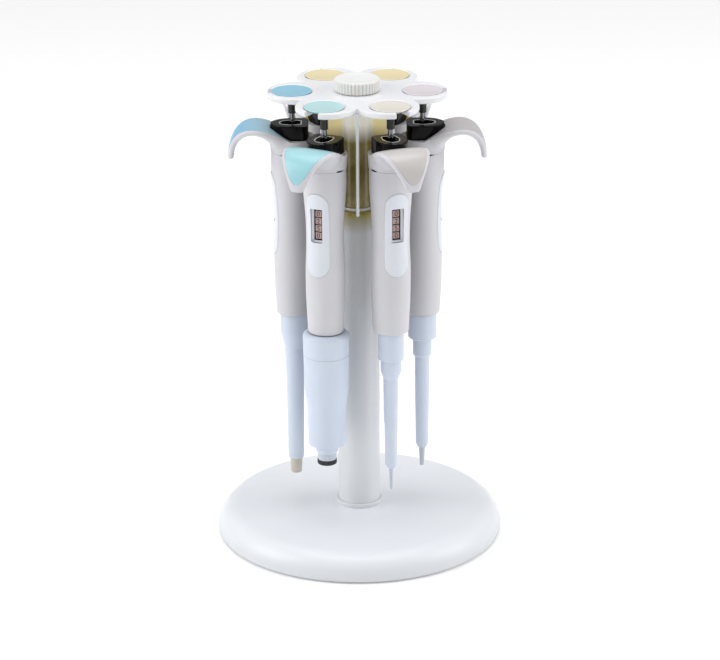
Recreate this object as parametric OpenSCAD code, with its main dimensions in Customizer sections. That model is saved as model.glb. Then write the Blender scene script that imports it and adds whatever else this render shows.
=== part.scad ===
// Round carousel stand with a turning rotor that hangs six hand pipettes by their push-buttons.
// The stand rests on z = 0 and turns about the z axis. Station 1 lies on +x and the stations are
// numbered counter-clockwise seen from above. Each pipette is drawn about its own axis, with
// z = 0 at the top of its push-button, x pointing away from the stand, and is then set in place.

/* [Base] */
// Radius of the base at its widest
base_r = 88.8; // [84:0.1:96]
// Radius of the rounded edge
base_edge_r = 12.6; // [11:0.1:14]
// Height of the widest line above the table
base_edge_z = 4.2; // [3.6:0.1:6]
// Rise of the top from the rounded edge to the flat round the column
base_crown = 0.8; // [0.4:0.1:3]
// Wall of the moulded shell
base_wall = 3; // [2:0.1:4]
// Radius of the solid boss under the column
base_boss_r = 19; // [16:0.1:24]
// Thickness of the bottom cover
cover_t = 2; // [1.5:0.1:3]
// Gap between the bottom cover and the shell around it
cover_gap = 0.3; // [0.2:0.05:0.6]
// Outer radius of the steel ballast ring
ballast_r = 64; // [50:0.5:70]
// Thickness of the ballast ring
ballast_t = 6; // [4:0.1:8]
// Radius of a rubber foot
foot_r = 7; // [5:0.1:10]
// Thickness of a rubber foot
foot_t = 1.2; // [1:0.1:2]
// Distance of the feet from the stand's axis
foot_ring_r = 72; // [60:0.5:75]

/* [Column] */
// Outer radius of the column
column_r = 13; // [12:0.1:15]
// Wall of the column
column_wall = 2.5; // [2:0.1:3.5]
// Length of the column
column_l = 195.4; // [170:0.1:215]
// Thickness of the closed top of the column
column_plug = 8; // [5:0.1:12]
// Height of the spigot that centres the column on the base
spigot_h = 8; // [5:0.1:12]
// Gap between the spigot and the column
spigot_gap = 0.1; // [0.05:0.01:0.2]
// Radial thickness of the ring round the foot of the column
collar_w = 1.6; // [1:0.1:2.5]
// Height of the ring round the foot of the column
collar_h = 2.6; // [1.5:0.1:4]
// Rounding of the column's top and of the ring's upper edge
column_edge_r = 0.8; // [0.4:0.1:1.2]

/* [Spindle and bearing] */
// Radius of the spindle
spindle_r = 4; // [3.5:0.05:5]
// Clearance of the spindle in the pieces that are clamped to it
spindle_gap = 0.1; // [0.05:0.01:0.2]
// Running clearance of the spindle in the bushes and in the knob
bush_fit = 0.05; // [0.02:0.01:0.1]
// Radius of the spindle's hexagon head, over its corners
spindle_head_r = 7.5; // [6.5:0.1:9]
// Height of the spindle's head
spindle_head_h = 5; // [4:0.1:7]
// Wall of a bush
bush_wall = 2.2; // [1.5:0.1:3]
// Length of a bush
bush_l = 11; // [8:0.1:15]
// Radius of the thrust washer on top of the column
washer_r = 11; // [9:0.1:12.5]
// Thickness of the thrust washer
washer_t = 1.6; // [1:0.1:2.5]

/* [Rotor] */
// Outer radius of the hub
hub_r = 10; // [8.5:0.1:11.5]
// Height of the hub and its fins
rotor_h = 68.1; // [60:0.1:75]
// Thickness of a fin
fin_t = 1.4; // [1:0.1:2.5]
// Gap between the outer edge of the fins and the circle that the grips touch
fin_gap = 0.7; // [0.5:0.1:3]
// Thickness of the lobed plate
plate_t = 3.8; // [3.4:0.1:5]
// Radius of a lobe
lobe_r = 19.1; // [18.4:0.1:20]
// Distance from the hang circle in to the centres of the lobes
lobe_inset = 3.8; // [3:0.1:5]
// Bevel of the plate's edges
plate_bevel = 0.6; // [0.3:0.1:0.9]
// Width of the slot that takes the push-rod
slot_w = 9; // [7.5:0.1:10]
// Slope of the seat's wall above the level
seat_angle = 30; // [24:0.5:31]
// Level gap between the push-button and the wall of its seat
seat_gap = 0.6; // [0.4:0.05:0.8]

/* [Knob] */
// Radius of the knob over its ribs
knob_r = 14; // [12:0.1:16]
// Height of the knob
knob_h = 7.4; // [6.5:0.1:10]
// Thickness of the knob's closed top
knob_top = 2; // [1.2:0.1:2.5]
// Radius of the knob's top edge
knob_edge_r = 1.6; // [0.8:0.1:2]
// Number of ribs round the knob
knob_ribs = 40; // [24:1:48]
// Depth of the grooves between the ribs
knob_rib_depth = 0.6; // [0.3:0.05:0.8]
// Running gap between the knob and the plate
knob_gap = 0.3; // [0.2:0.05:0.5]
// Radius of the shallow dish in the knob's top
knob_dish_r = 9; // [6:0.1:10]
// Depth of the dish in the knob's top
knob_dish = 0.5; // [0.3:0.05:0.7]

/* [Push-button and rod] */
// Radius of the circle that the pipettes hang on
hang_r = 39.5; // [39:0.1:44]
// Radius of the push-button
button_r = 12; // [11:0.1:12.4]
// Straight rim of the push-button
button_rim = 0.6; // [0.4:0.05:0.8]
// Depth of the tapered underside of the push-button
button_cone = 1.6; // [1.2:0.05:1.8]
// Width of the raised border round the push-button's top
button_border = 1.5; // [1:0.1:3]
// Depth of the dish inside the border
button_dish = 0.3; // [0.2:0.05:0.4]
// Radius of the neck under the push-button
neck_r = 2.4; // [2.2:0.05:2.8]
// Length of the neck, from the top of the push-button
neck_l = 9; // [8:0.1:10]
// Radius of the push-rod
rod_r = 1.7; // [1.5:0.05:1.9]
// Running clearance of the push-rod
rod_fit = 0.05; // [0.02:0.01:0.1]
// Distance from the top of the push-button to the top of the ejector cap
button_reach = 21.7; // [20.5:0.1:24]
// Radius of the stop on the push-rod
stop_r = 4; // [3.4:0.1:5]
// Thickness of the stop on the push-rod
stop_t = 3; // [2:0.1:4]
// Travel of the push-button
press_travel = 12; // [8:0.5:13]

/* [Ejector cap] */
// Distance from the pipette's axis to the cap's inner end
cap_back = 9.8; // [9:0.1:10.4]
// Distance from the pipette's axis to the cap's outer end, or nose
cap_reach = 13.2; // [12.4:0.1:13.6]
// Half the width of the cap
cap_half_w = 8; // [7:0.1:8.6]
// Radius of the cap's inner corners
cap_corner_r = 3.5; // [2.5:0.1:5]
// Half the width of the cap's nose
cap_nose_half_w = 2.4; // [1.5:0.1:4]
// Height of the cap
cap_h = 8.6; // [8:0.1:9]
// Gap between the cap and its pocket
cap_gap = 0.3; // [0.2:0.05:0.4]
// Radius of the hole for the push-rod's neck
cap_hole_r = 3.2; // [3:0.1:4]
// Length of the thumb rest sunk in the top of the cap
rest_l = 16.6; // [13:0.1:18]
// Width of the thumb rest
rest_w = 11; // [8:0.1:12]
// Depth of the thumb rest
rest_depth = 1.2; // [0.6:0.1:1.6]
// Travel of the ejector
eject_travel = 6; // [4:0.1:6.2]

/* [Hook head] */
// Radius of the head at the seam
head_r = 13.2; // [12.9:0.1:13.5]
// Radius of the head at its rim
head_rim_r = 14.2; // [13.6:0.1:14.8]
// Height of the head, from the seam to the top of the cap
head_h = 17.3; // [16.8:0.1:18.5]
// Thickness of the floor between the pocket and the grip
head_floor = 2.2; // [1.5:0.1:2.4]
// Drop of the head's inner rim below the top of the cap
rim_drop = 7.2; // [6:0.1:8]
// Distance from the axis to where the rim starts to rise towards the hook
rim_rise_x = 1; // [-1:0.1:3]
// Distance from the axis to the outer face of the hook's tip
hook_reach = 39.2; // [37:0.1:42]
// Drop of the tip below the top of the cap
hook_drop = 24; // [21:0.1:26]
// Thickness of the tip
hook_tip_t = 2; // [1.6:0.1:3]
// Drop of the hook's root below the top of the cap
hook_root_drop = 1.8; // [1.4:0.1:2.4]
// Rise that draws the hook's back up into its arch
hook_arch = 5.1; // [4:0.1:6]
// Where along the reach the arch is drawn up
hook_arch_share = 0.68; // [0.62:0.01:0.74]
// Rise that rounds the hook's brow over the tip
hook_brow = 1.4; // [0.5:0.1:2]
// How far behind the tip the brow is drawn up
hook_brow_inset = 0.7; // [0.2:0.1:1.5]
// Drop of the underside's root below the top of the cap
hook_throat_drop = 15.8; // [14.5:0.1:16.2]
// Distance from the head to the point that draws the underside's inner end up
hook_under_in = 2.5; // [1.5:0.1:4]
// Drop of that point below the top of the cap
hook_under_in_drop = 1.4; // [0.8:0.1:3]
// Distance from the tip to the point that draws the underside's outer end up
hook_under_out = 3.7; // [3:0.1:5]
// Drop of that point below the top of the cap
hook_under_out_drop = 2.6; // [2:0.1:4]
// Half the width of the tip
hook_tip_half_w = 5; // [4:0.1:6]
// Half the width of the hook's root
hook_root_half_w = 12.4; // [11.5:0.1:12.8]
// How far the shoulders bulge past the root, near the head
hook_shoulder = 5.6; // [3:0.1:6.5]
// How far they bulge past the root, near the tip
hook_tip_shoulder = 4; // [2:0.1:5]
// Squareness of the hook's cross-section
hook_square = 2.6; // [2.2:0.1:3.2]
// Thickness of the coloured pad
pad_t = 1; // [0.7:0.05:1.4]
// Gap under the pad
pad_gap = 0.05; // [0.03:0.01:0.1]
// Width of the hook's edge that stays bare beside the pad
pad_border = 1.8; // [1.4:0.1:3]
// Angle between the hook and the notches where the head and the grip meet
notch_angle = 72; // [60:1:85]
// Width of the notches
notch_w = 7.5; // [5:0.1:9]
// Height of the notches
notch_h = 1.5; // [1:0.1:2]
// Depth of the notches
notch_depth = 0.8; // [0.65:0.05:1]

/* [Grip] */
// Length of the grip, from the seam to its lower end
grip_l = 102.8; // [95:0.1:110]
// Radius of the grip at the seam
grip_top_r = 13; // [12.6:0.1:13.1]
// Radius of the grip at its waist
grip_waist_r = 11.4; // [10.8:0.1:12]
// Distance from the seam to the waist
grip_waist_l = 43; // [38:0.5:48]
// Radius of the grip where it swells below the waist
grip_belly_r = 12; // [11.6:0.1:12.4]
// Distance from the seam to the swelling below the waist
grip_belly_l = 66; // [60:0.5:72]
// Radius of the grip at its lower end
grip_end_r = 10.8; // [10.2:0.1:11.4]
// Swelling of the grip just under the seam
grip_swell = 0.6; // [0.3:0.05:0.8]
// Length of the taper at the grip's lower end
grip_taper_l = 12; // [8:0.5:16]
// Rounding of the grip's lower edge
grip_edge_r = 0.7; // [0.4:0.1:1]
// Clearance round the stop in the grip
stop_gap = 0.3; // [0.2:0.05:0.5]
// Depth of the guide that the push-rod's end runs in
guide_l = 28; // [24:0.5:32]
// Distance from the seam to the top of the dial plate
dial_drop = 12; // [9:0.5:14]
// Length of the dial plate
dial_l = 52.5; // [48:0.5:56]
// Width of the dial plate
dial_w = 12.8; // [11:0.1:14]
// How far the dial plate stands proud of the grip
dial_proud = 0.5; // [0.3:0.05:0.8]
// Distance from the top of the dial plate to its window
window_drop = 9.5; // [8:0.5:12]
// Length of the window
window_l = 21; // [18:0.5:24]
// Width of the window
window_w = 5.8; // [4.5:0.1:7]
// Depth of the window below the waist's surface
window_depth = 0.8; // [0.5:0.05:1.2]

/* [Barrels] */
// Wall of the ejector sleeve at its lower end
sleeve_wall = 1; // [0.7:0.05:1.2]
// Running gap between the sleeve and the nozzle inside it
sleeve_gap = 0.3; // [0.2:0.05:0.4]
// Gap between the grip's lower end and the sleeve
sleeve_top_gap = 0.3; // [0.2:0.05:0.6]
// Rounding of the sleeve's steps
sleeve_edge_r = 1; // [0.4:0.1:1.2]
// Thickness of the sleeve's closed end
sleeve_end = 2.6; // [2:0.1:3]
// Thickness of the sleeve's lower lip round the nozzle
lip_w = 0.5; // [0.4:0.05:0.7]
// Clearance of the nozzle in its socket
socket_gap = 0.05; // [0.02:0.01:0.1]
// Depth of the nozzle's socket in the grip
socket_l = 14; // [10:0.5:18]
// Length of the air hole in the end of the nozzle
air_hole_l = 8; // [5:0.5:9]

/* [Medium barrel] */
// Radius of the collar
medium_collar_r = 8.75; // [8:0.05:9.5]
// Length of the collar
medium_collar_l = 12; // [9:0.1:15]
// Length of the shoulder under the collar
medium_shoulder_l = 11; // [8:0.1:13]
// Radius of the ring under the shoulder
medium_ring_r = 6.35; // [6:0.05:7]
// Length of the ring
medium_ring_l = 2; // [1:0.1:4]
// Length of the neck between the ring and the shaft
medium_neck_l = 20; // [16:0.1:24]
// Radius of the shaft at its top
medium_shaft_r = 5.5; // [5.2:0.05:5.8]
// Radius of the shaft at its end
medium_shaft_end_r = 4.95; // [4.9:0.05:5.1]
// Length of the shaft
medium_shaft_l = 49.4; // [44:0.1:54]
// Radius of the nozzle where it leaves the sleeve
medium_tip_r = 3.55; // [3.2:0.05:3.6]
// Radius of the nozzle's end
medium_tip_end_r = 3.1; // [2.6:0.05:3.2]
// Length of the nozzle below the sleeve
medium_tip_l = 10; // [8:0.1:13]

/* [Slim barrel] */
// Radius of the collar
slim_collar_r = 8.85; // [8:0.05:9.5]
// Length of the collar
slim_collar_l = 16.5; // [13:0.1:20]
// Length of the shoulder under the collar
slim_shoulder_l = 1.5; // [1:0.1:4]
// Radius of the ring under the shoulder
slim_ring_r = 5.8; // [5.2:0.05:6.4]
// Length of the ring
slim_ring_l = 10; // [8:0.1:13]
// Length of the neck between the ring and the shaft
slim_neck_l = 1.4; // [0.8:0.1:3]
// Radius of the shaft at its top
slim_shaft_r = 4.65; // [4.4:0.05:4.9]
// Radius of the shaft at its end
slim_shaft_end_r = 3.95; // [3.7:0.05:4.2]
// Length of the shaft
slim_shaft_l = 58.5; // [52:0.1:64]
// Radius of the nozzle where it leaves the sleeve
slim_tip_r = 2; // [1.8:0.05:2.3]
// Radius of the nozzle's end
slim_tip_end_r = 1.3; // [1.1:0.05:1.6]
// Length of the nozzle below the sleeve
slim_tip_l = 12.6; // [9:0.1:14]

/* [Fine barrel] */
// Radius of the collar
fine_collar_r = 7.8; // [7.2:0.05:8.6]
// Length of the collar
fine_collar_l = 18; // [14:0.1:20]
// Length of the shoulder under the collar
fine_shoulder_l = 0.8; // [0.5:0.1:3]
// Radius of the ring under the shoulder
fine_ring_r = 6.35; // [6:0.05:6.8]
// Length of the ring
fine_ring_l = 6.9; // [5:0.1:9]
// Length of the neck between the ring and the shaft
fine_neck_l = 5.7; // [4:0.1:8]
// Radius of the shaft at its top
fine_shaft_r = 4.5; // [4.2:0.05:4.8]
// Radius of the shaft at its end
fine_shaft_end_r = 3.65; // [3.4:0.05:3.9]
// Length of the shaft
fine_shaft_l = 56.6; // [50:0.1:62]
// Radius of the nozzle where it leaves the sleeve
fine_tip_r = 1.25; // [1.1:0.05:1.5]
// Radius of the nozzle's end
fine_tip_end_r = 0.8; // [0.7:0.05:1]
// Length of the nozzle below the sleeve
fine_tip_l = 14.3; // [10:0.1:16]

/* [Wide barrel] */
// Radius of the collar
wide_collar_r = 14.15; // [13:0.05:14.5]
// Length of the collar
wide_collar_l = 42.4; // [38:0.1:46]
// Length of the shoulder under the collar
wide_shoulder_l = 6; // [4:0.1:8]
// Radius of the ring under the shoulder
wide_ring_r = 11.5; // [10.5:0.05:12]
// Length of the ring
wide_ring_l = 26.2; // [22:0.1:30]
// Length of the neck between the ring and the shaft
wide_neck_l = 1.2; // [0.8:0.1:3]
// Radius of the shaft at its top
wide_shaft_r = 7.8; // [7.7:0.05:8.2]
// Radius of the shaft at its end
wide_shaft_end_r = 7.6; // [7.5:0.05:7.7]
// Length of the shaft
wide_shaft_l = 0.8; // [0.6:0.1:3]
// Radius of the nozzle where it leaves the sleeve
wide_tip_r = 6.1; // [5.8:0.05:6.2]
// Radius of the nozzle's end
wide_tip_end_r = 6; // [5.6:0.05:6.1]
// Length of the nozzle below the sleeve
wide_tip_l = 7.6; // [5:0.1:9]

/* [Hidden] */
// Smoothness of round shapes
$fn = 72;
// Steps along a curved outline
curve_steps = 10;
// Steps round a rounded corner
fillet_steps = 3;
// Cuts reach this far past a face
over = 1;

// Stations of the carousel
station_count = 6;
stations = [1:station_count];
station_angle = 360 / station_count;
foot_count = 4;
// How far each hanging pipette is turned about its own axis
station_turns = [0, 0, 0, 0, 5, -10];

// Parts of a station, in NODES and on the model
station_parts = ["push_button", "push_rod", "ejector_cap", "hook_head",
                 "hook_pad", "grip", "nozzle", "ejector_sleeve"];
stand_parts = ["base_shell", "base_ballast", "base_cover", "rubber_feet", "column_tube",
               "column_collar", "spindle", "thrust_washer", "hub_bushes", "rotor_fins",
               "rotor_plate", "retaining_knob"];

// Colours
base_colour = "#f1f4f8";
column_colour = "#f0efe8";
rotor_colour = "#e9e8d4";
knob_colour = "#efece0";
steel_colour = "#c4c7ca";
rubber_colour = "#3b3c3e";
bush_colour = "#f4f1e6";
cap_colour = "#17181a";
grip_colour = "#dcd7d0";
sleeve_colour = "#f1f5fa";
nozzle_colour = "#ece4d4";
pad_colours = ["#b9b0ac", "#e8c94e", "#e8c94e", "#58a6c8", "#9bdbe0", "#d8d0c6"];
button_colours = ["#d9cbd0", "#efcf52", "#efcf52", "#3f9fc9", "#8fd0e0", "#e6dfcc"];

// Heights of the stand
cover_z = foot_t;
cover_top_z = cover_z + cover_t;
base_top_z = base_edge_z + base_edge_r + base_crown;
column_top_z = base_top_z + column_l;
rotor_z = column_top_z + washer_t;
plate_z = rotor_z + rotor_h;
plate_top_z = plate_z + plate_t;
knob_z = plate_top_z + knob_gap;

// Radii of the stand
base_flat_r = column_r + collar_w + over;
base_centre_r = base_r - base_edge_r;
base_foot_r = base_centre_r + sqrt(pow(base_edge_r, 2) - pow(base_edge_z - cover_z, 2));
base_inner_r = base_edge_r - base_wall;
cover_r = base_centre_r + sqrt(pow(base_inner_r, 2) - pow(base_edge_z - cover_z, 2)) - cover_gap;
bush_r = spindle_r + bush_fit + bush_wall;
fin_r = hang_r - head_r - fin_gap;
lobe_ring_r = hang_r - lobe_inset;

// Heights of a pipette, below the top of its push-button
button_t = button_rim + button_cone;
cap_z = -button_reach;
cap_low_z = cap_z - cap_h;
rim_z = cap_z - rim_drop;
seam_z = cap_z - head_h;
pocket_z = seam_z + head_floor;
stop_well_z = seam_z - stop_t - press_travel - over;
guide_z = stop_well_z - guide_l;
rod_end_z = guide_z + press_travel + over;
grip_z = seam_z - grip_l;
sleeve_z = grip_z - sleeve_top_gap;
dial_z = seam_z - dial_drop;
window_z = dial_z - window_drop;

// Sizes of the four barrels, in the order that the fields below name
medium = [medium_collar_r, medium_collar_l, medium_shoulder_l,
          medium_ring_r, medium_ring_l, medium_neck_l,
          medium_shaft_r, medium_shaft_end_r, medium_shaft_l,
          medium_tip_r, medium_tip_end_r, medium_tip_l];
slim = [slim_collar_r, slim_collar_l, slim_shoulder_l, slim_ring_r, slim_ring_l, slim_neck_l,
        slim_shaft_r, slim_shaft_end_r, slim_shaft_l, slim_tip_r, slim_tip_end_r, slim_tip_l];
fine = [fine_collar_r, fine_collar_l, fine_shoulder_l, fine_ring_r, fine_ring_l, fine_neck_l,
        fine_shaft_r, fine_shaft_end_r, fine_shaft_l, fine_tip_r, fine_tip_end_r, fine_tip_l];
wide = [wide_collar_r, wide_collar_l, wide_shoulder_l, wide_ring_r, wide_ring_l, wide_neck_l,
        wide_shaft_r, wide_shaft_end_r, wide_shaft_l, wide_tip_r, wide_tip_end_r, wide_tip_l];
barrels = [slim, slim, slim, medium, wide, fine];
function collar_r(k) = barrels[k - 1][0];
function shoulder_z(k) = sleeve_z - barrels[k - 1][1];
function ring_z(k) = shoulder_z(k) - barrels[k - 1][2];
function ring_r(k) = barrels[k - 1][3];
function neck_z(k) = ring_z(k) - barrels[k - 1][4];
function shaft_z(k) = neck_z(k) - barrels[k - 1][5];
function shaft_r(k) = barrels[k - 1][6];
function shaft_end_r(k) = barrels[k - 1][7];
function shaft_end_z(k) = shaft_z(k) - barrels[k - 1][8];
function tip_r(k) = barrels[k - 1][9];
function tip_end_r(k) = barrels[k - 1][10];
function sleeve_end_z(k) = shaft_end_z(k) - sleeve_end;
function tip_end_z(k) = sleeve_end_z(k) - barrels[k - 1][11];
function core_r(k) = shaft_end_r(k) - sleeve_wall - sleeve_gap;

// Point on a cubic curve with four control points
function curve(p, t) = pow(1 - t, 3) * p[0] + 3 * t * pow(1 - t, 2) * p[1]
    + 3 * t * t * (1 - t) * p[2] + pow(t, 3) * p[3];
function curve_points(p) = [for (i = [0:curve_steps]) curve(p, i / curve_steps)];

// Corner b of an outline, rounded towards its neighbours a and c
function fillet(a, b, c, r) =
    let (to_a = (a - b) / norm(a - b), to_c = (c - b) / norm(c - b),
         share = 0.45,
         reach = min(r / tan(acos(to_a * to_c) / 2), share * norm(a - b), share * norm(c - b)),
         from = b + reach * to_a, to = b + reach * to_c)
    [for (i = [0:fillet_steps])
        let (t = i / fillet_steps) pow(1 - t, 2) * from + 2 * t * (1 - t) * b + t * t * to];

// Closed outline with a radius for each of its corners
function rounded(outline, radii) =
    let (n = len(outline))
    [for (i = [0:n - 1])
        each (radii[i] > 0
            ? fillet(outline[(i + n - 1) % n], outline[i], outline[(i + 1) % n], radii[i])
            : [outline[i]])];

// Points on an arc, from one angle to another
function arc_points(centre, r, from, to) = [for (i = [0:curve_steps])
    let (a = from + (to - from) * i / curve_steps) centre + r * [cos(a), sin(a)]];

// Signed power, for the rounded square section of the hook
function bulge(v, square) = sign(v) * pow(abs(v), 2 / square);

// Side view of the hook: its upper and lower outlines and its half width, from root to tip
hook_root_x = 8;
hook_throat_x = head_r - 0.2;
hook_top = [[hook_root_x, cap_z - hook_root_drop],
            [hook_reach * hook_arch_share, cap_z + hook_arch],
            [hook_reach - hook_brow_inset, cap_z + hook_brow], [hook_reach, cap_z - hook_drop]];
hook_low = [[hook_throat_x, cap_z - hook_throat_drop],
            [head_r + hook_under_in, cap_z - hook_under_in_drop],
            [hook_reach - hook_under_out, cap_z - hook_under_out_drop],
            [hook_reach - hook_tip_t, cap_z - hook_drop]];
hook_half_w = [hook_root_half_w, hook_root_half_w + hook_shoulder,
               hook_root_half_w + hook_tip_shoulder, hook_tip_half_w];

// Mesh of the hook: rings from root to tip, points round it, and the field that the pad fills
hook_sides = 32;
pad_side = 3;
pad_rows = 12;
pad_first = 0.17;
pad_last = 0.83;
pad_wall = 0.012;
pad_ring = 3;
hook_rows = concat([0, pad_first / 2, pad_first - pad_wall],
                   [for (i = [0:pad_rows - 1]) pad_first + (pad_last - pad_first)
                       * (1 - cos(180 * i / (pad_rows - 1))) / 2],
                   [pad_last + pad_wall, (1 + pad_last) / 2, 1]);
function in_pad(i, j) = i >= pad_ring && i < pad_ring + pad_rows && j > pad_side
    && j < hook_sides / 2 - pad_side;

// Half the angle that the pad takes round the hook: full in the middle, small at its ends
function pad_angle(t) =
    let (middle = (pad_first + pad_last) / 2, half = (pad_last - pad_first) / 2 + pad_wall,
         close = abs(t - middle) / half, fullness = t < middle ? 8 : 2.4,
         share = (1 - pad_border / curve(hook_half_w, t))
             * pow(max(0.05, 1 - pow(close, fullness)), 0.5))
    asin(pow(share, hook_square / 2));

// Angle of a point round the hook, with the columns of the pad gathered inside its border
function hook_angle(t, j) =
    let (quarter = hook_sides / 4, side = j < quarter ? -1 : 1, steps = abs(j - quarter),
         inner = quarter - pad_side - 1, wall_angle = 2,
         pad_half = pad_angle(min(max(t, pad_first), pad_last)))
    j > 2 * quarter ? 360 * j / hook_sides
        : 90 + side * (steps <= inner ? pad_half * steps / inner
            : 90 - (90 - pad_half - wall_angle) * (quarter - steps) / pad_side);
function hook_point(i, j, sunk) =
    let (t = hook_rows[i], a = hook_angle(t, j),
         top = curve(hook_top, t), low = curve(hook_low, t),
         middle = (top + low) / 2, half = (top - low) / 2,
         rise = bulge(sin(a), hook_square) - sunk / norm(half),
         at = middle + half * rise)
    [at[0], curve(hook_half_w, t) * bulge(cos(a), hook_square), at[1]];

// Faces of a tube of rings with closed ends
function ring_faces(rings, sides) = concat(
    [for (i = [0:rings - 2], j = [0:sides - 1])
        let (n = (j + 1) % sides) [(i + 1) * sides + n, i * sides + n, i * sides + j]],
    [for (i = [0:rings - 2], j = [0:sides - 1])
        let (n = (j + 1) % sides) [(i + 1) * sides + j, (i + 1) * sides + n, i * sides + j]],
    [for (j = [1:sides - 2]) [0, j, j + 1]],
    [for (j = [1:sides - 2])
        [(rings - 1) * sides + j + 1, (rings - 1) * sides + j, (rings - 1) * sides]]);

// Puts a pipette's piece in its station
module at_station(k) {
    rotate([0, 0, station_angle * (k - 1)])
        translate([hang_r, 0, plate_top_z])
            rotate([0, 0, station_turns[k - 1]])
                children();
}

// Ring or disc standing on a height
module ring(z, h, outer_r, inner_r) {
    translate([0, 0, z])
        difference() {
            cylinder(r = outer_r, h = h);
            if (inner_r > 0)
                translate([0, 0, -over])
                    cylinder(r = inner_r, h = h + 2 * over);
        }
}

// Moulded dome with a solid boss, a spigot for the column and a pocket for the spindle's head
module base_shell() {
    centre = [base_centre_r, base_edge_z];
    low_angle = asin((cover_z - base_edge_z) / base_edge_r);
    inner_low_angle = asin((cover_z - base_edge_z) / base_inner_r);
    ceiling_z = base_edge_z + base_inner_r;
    color(base_colour)
        rotate_extrude()
            polygon(concat(
                arc_points(centre, base_edge_r, low_angle, 90),
                [[base_flat_r, base_top_z], [column_r - column_wall - spigot_gap, base_top_z],
                 [column_r - column_wall - spigot_gap, base_top_z + spigot_h],
                 [spindle_r + spindle_gap, base_top_z + spigot_h],
                 [spindle_r + spindle_gap, cover_top_z + spindle_head_h],
                 [spindle_head_r + spindle_gap, cover_top_z + spindle_head_h],
                 [spindle_head_r + spindle_gap, cover_top_z],
                 [base_boss_r, cover_top_z], [base_boss_r, ceiling_z]],
                arc_points(centre, base_inner_r, 90, inner_low_angle)));
}

// Steel ring that keeps the loaded stand from tipping
module base_ballast() {
    color(steel_colour)
        ring(cover_top_z, ballast_t, ballast_r, base_boss_r + spindle_gap);
}

// Disc that closes the shell from below
module base_cover() {
    color(base_colour)
        ring(cover_z, cover_t, cover_r, 0);
}

// Rubber pads stuck to the bottom cover
module rubber_feet() {
    color(rubber_colour)
        for (i = [0:foot_count - 1])
            rotate([0, 0, 360 / foot_count * (i + 0.5)])
                translate([foot_ring_r, 0, 0])
                    cylinder(r = foot_r, h = foot_t);
}

// Tube with a closed top that the spindle passes through
module column_tube() {
    bore_r = spindle_r + spindle_gap;
    plug_z = column_top_z - column_plug;
    color(column_colour)
        rotate_extrude()
            polygon(rounded([[column_r - column_wall, base_top_z], [column_r, base_top_z],
                             [column_r, column_top_z], [bore_r, column_top_z],
                             [bore_r, plug_z], [column_r - column_wall, plug_z]],
                            [0, 0, column_edge_r, 0, 0, 0]));
}

// Ring that covers the joint between the column and the base
module column_collar() {
    inner_r = column_r + spindle_gap;
    outer_r = column_r + collar_w;
    color(rotor_colour)
        rotate_extrude()
            polygon(rounded([[inner_r, base_top_z], [outer_r, base_top_z],
                             [outer_r, base_top_z + collar_h], [inner_r, base_top_z + collar_h]],
                            [0, 0, column_edge_r, 0]));
}

// Long bolt that clamps the column to the base and carries the rotor and the knob
module spindle() {
    color(steel_colour) {
        translate([0, 0, cover_top_z])
            cylinder(r = spindle_head_r, h = spindle_head_h, $fn = 6);
        translate([0, 0, cover_top_z])
            cylinder(r = spindle_r, h = knob_z + knob_h - knob_top - over / 2 - cover_top_z);
    }
}

// Slippery washer between the column and the rotor
module thrust_washer() {
    color(bush_colour)
        ring(column_top_z, washer_t, washer_r, spindle_r + spindle_gap);
}

// Two plain bushes pressed into the ends of the hub
module hub_bushes() {
    color(bush_colour)
        for (z = [rotor_z, plate_z - bush_l])
            ring(z, bush_l, bush_r, spindle_r + bush_fit);
}

// Hub with radial fins between the pipettes
module rotor_fins() {
    fin_root_r = (hub_r + bush_r) / 2;
    color(rotor_colour)
        translate([0, 0, rotor_z])
            linear_extrude(rotor_h)
                union() {
                    difference() {
                        circle(r = hub_r);
                        circle(r = bush_r);
                    }
                    for (k = stations)
                        rotate(station_angle * (k - 0.5))
                            translate([fin_root_r, -fin_t / 2])
                                square([fin_r - fin_root_r, fin_t]);
                }
}

// Disc with bevelled edges that a part of the plate's outline follows
module plate_disc(r) {
    cylinder(r1 = r - plate_bevel, r2 = r, h = plate_bevel);
    translate([0, 0, plate_bevel])
        cylinder(r = r, h = plate_t - 2 * plate_bevel);
    translate([0, 0, plate_t - plate_bevel])
        cylinder(r1 = r, r2 = r - plate_bevel, h = plate_bevel);
}

// Lobed plate with a sloping seat and an open slot for each push-button
module rotor_plate() {
    seat_low_r = button_r - button_cone / tan(seat_angle) + seat_gap;
    seat_top_r = seat_low_r + (button_t + over) / tan(seat_angle);
    color(rotor_colour)
        difference() {
            translate([0, 0, plate_z])
                union() {
                    plate_disc(lobe_ring_r * cos(station_angle / 2) + 2 * plate_bevel);
                    for (k = stations)
                        rotate([0, 0, station_angle * (k - 1)])
                            translate([lobe_ring_r, 0, 0])
                                plate_disc(lobe_r);
                }
            translate([0, 0, plate_z - over])
                cylinder(r = spindle_r + 2 * spindle_gap, h = plate_t + 2 * over);
            for (k = stations)
                at_station(k) {
                    translate([0, 0, -button_t])
                        cylinder(r1 = seat_low_r, r2 = seat_top_r, h = button_t + over);
                    translate([0, 0, -plate_t - over])
                        cylinder(d = slot_w, h = plate_t + 2 * over);
                }
            for (k = stations)
                rotate([0, 0, station_angle * (k - 1)])
                    translate([hang_r, -slot_w / 2, plate_z - over])
                        cube([lobe_r, slot_w, plate_t + 2 * over]);
        }
}

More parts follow.
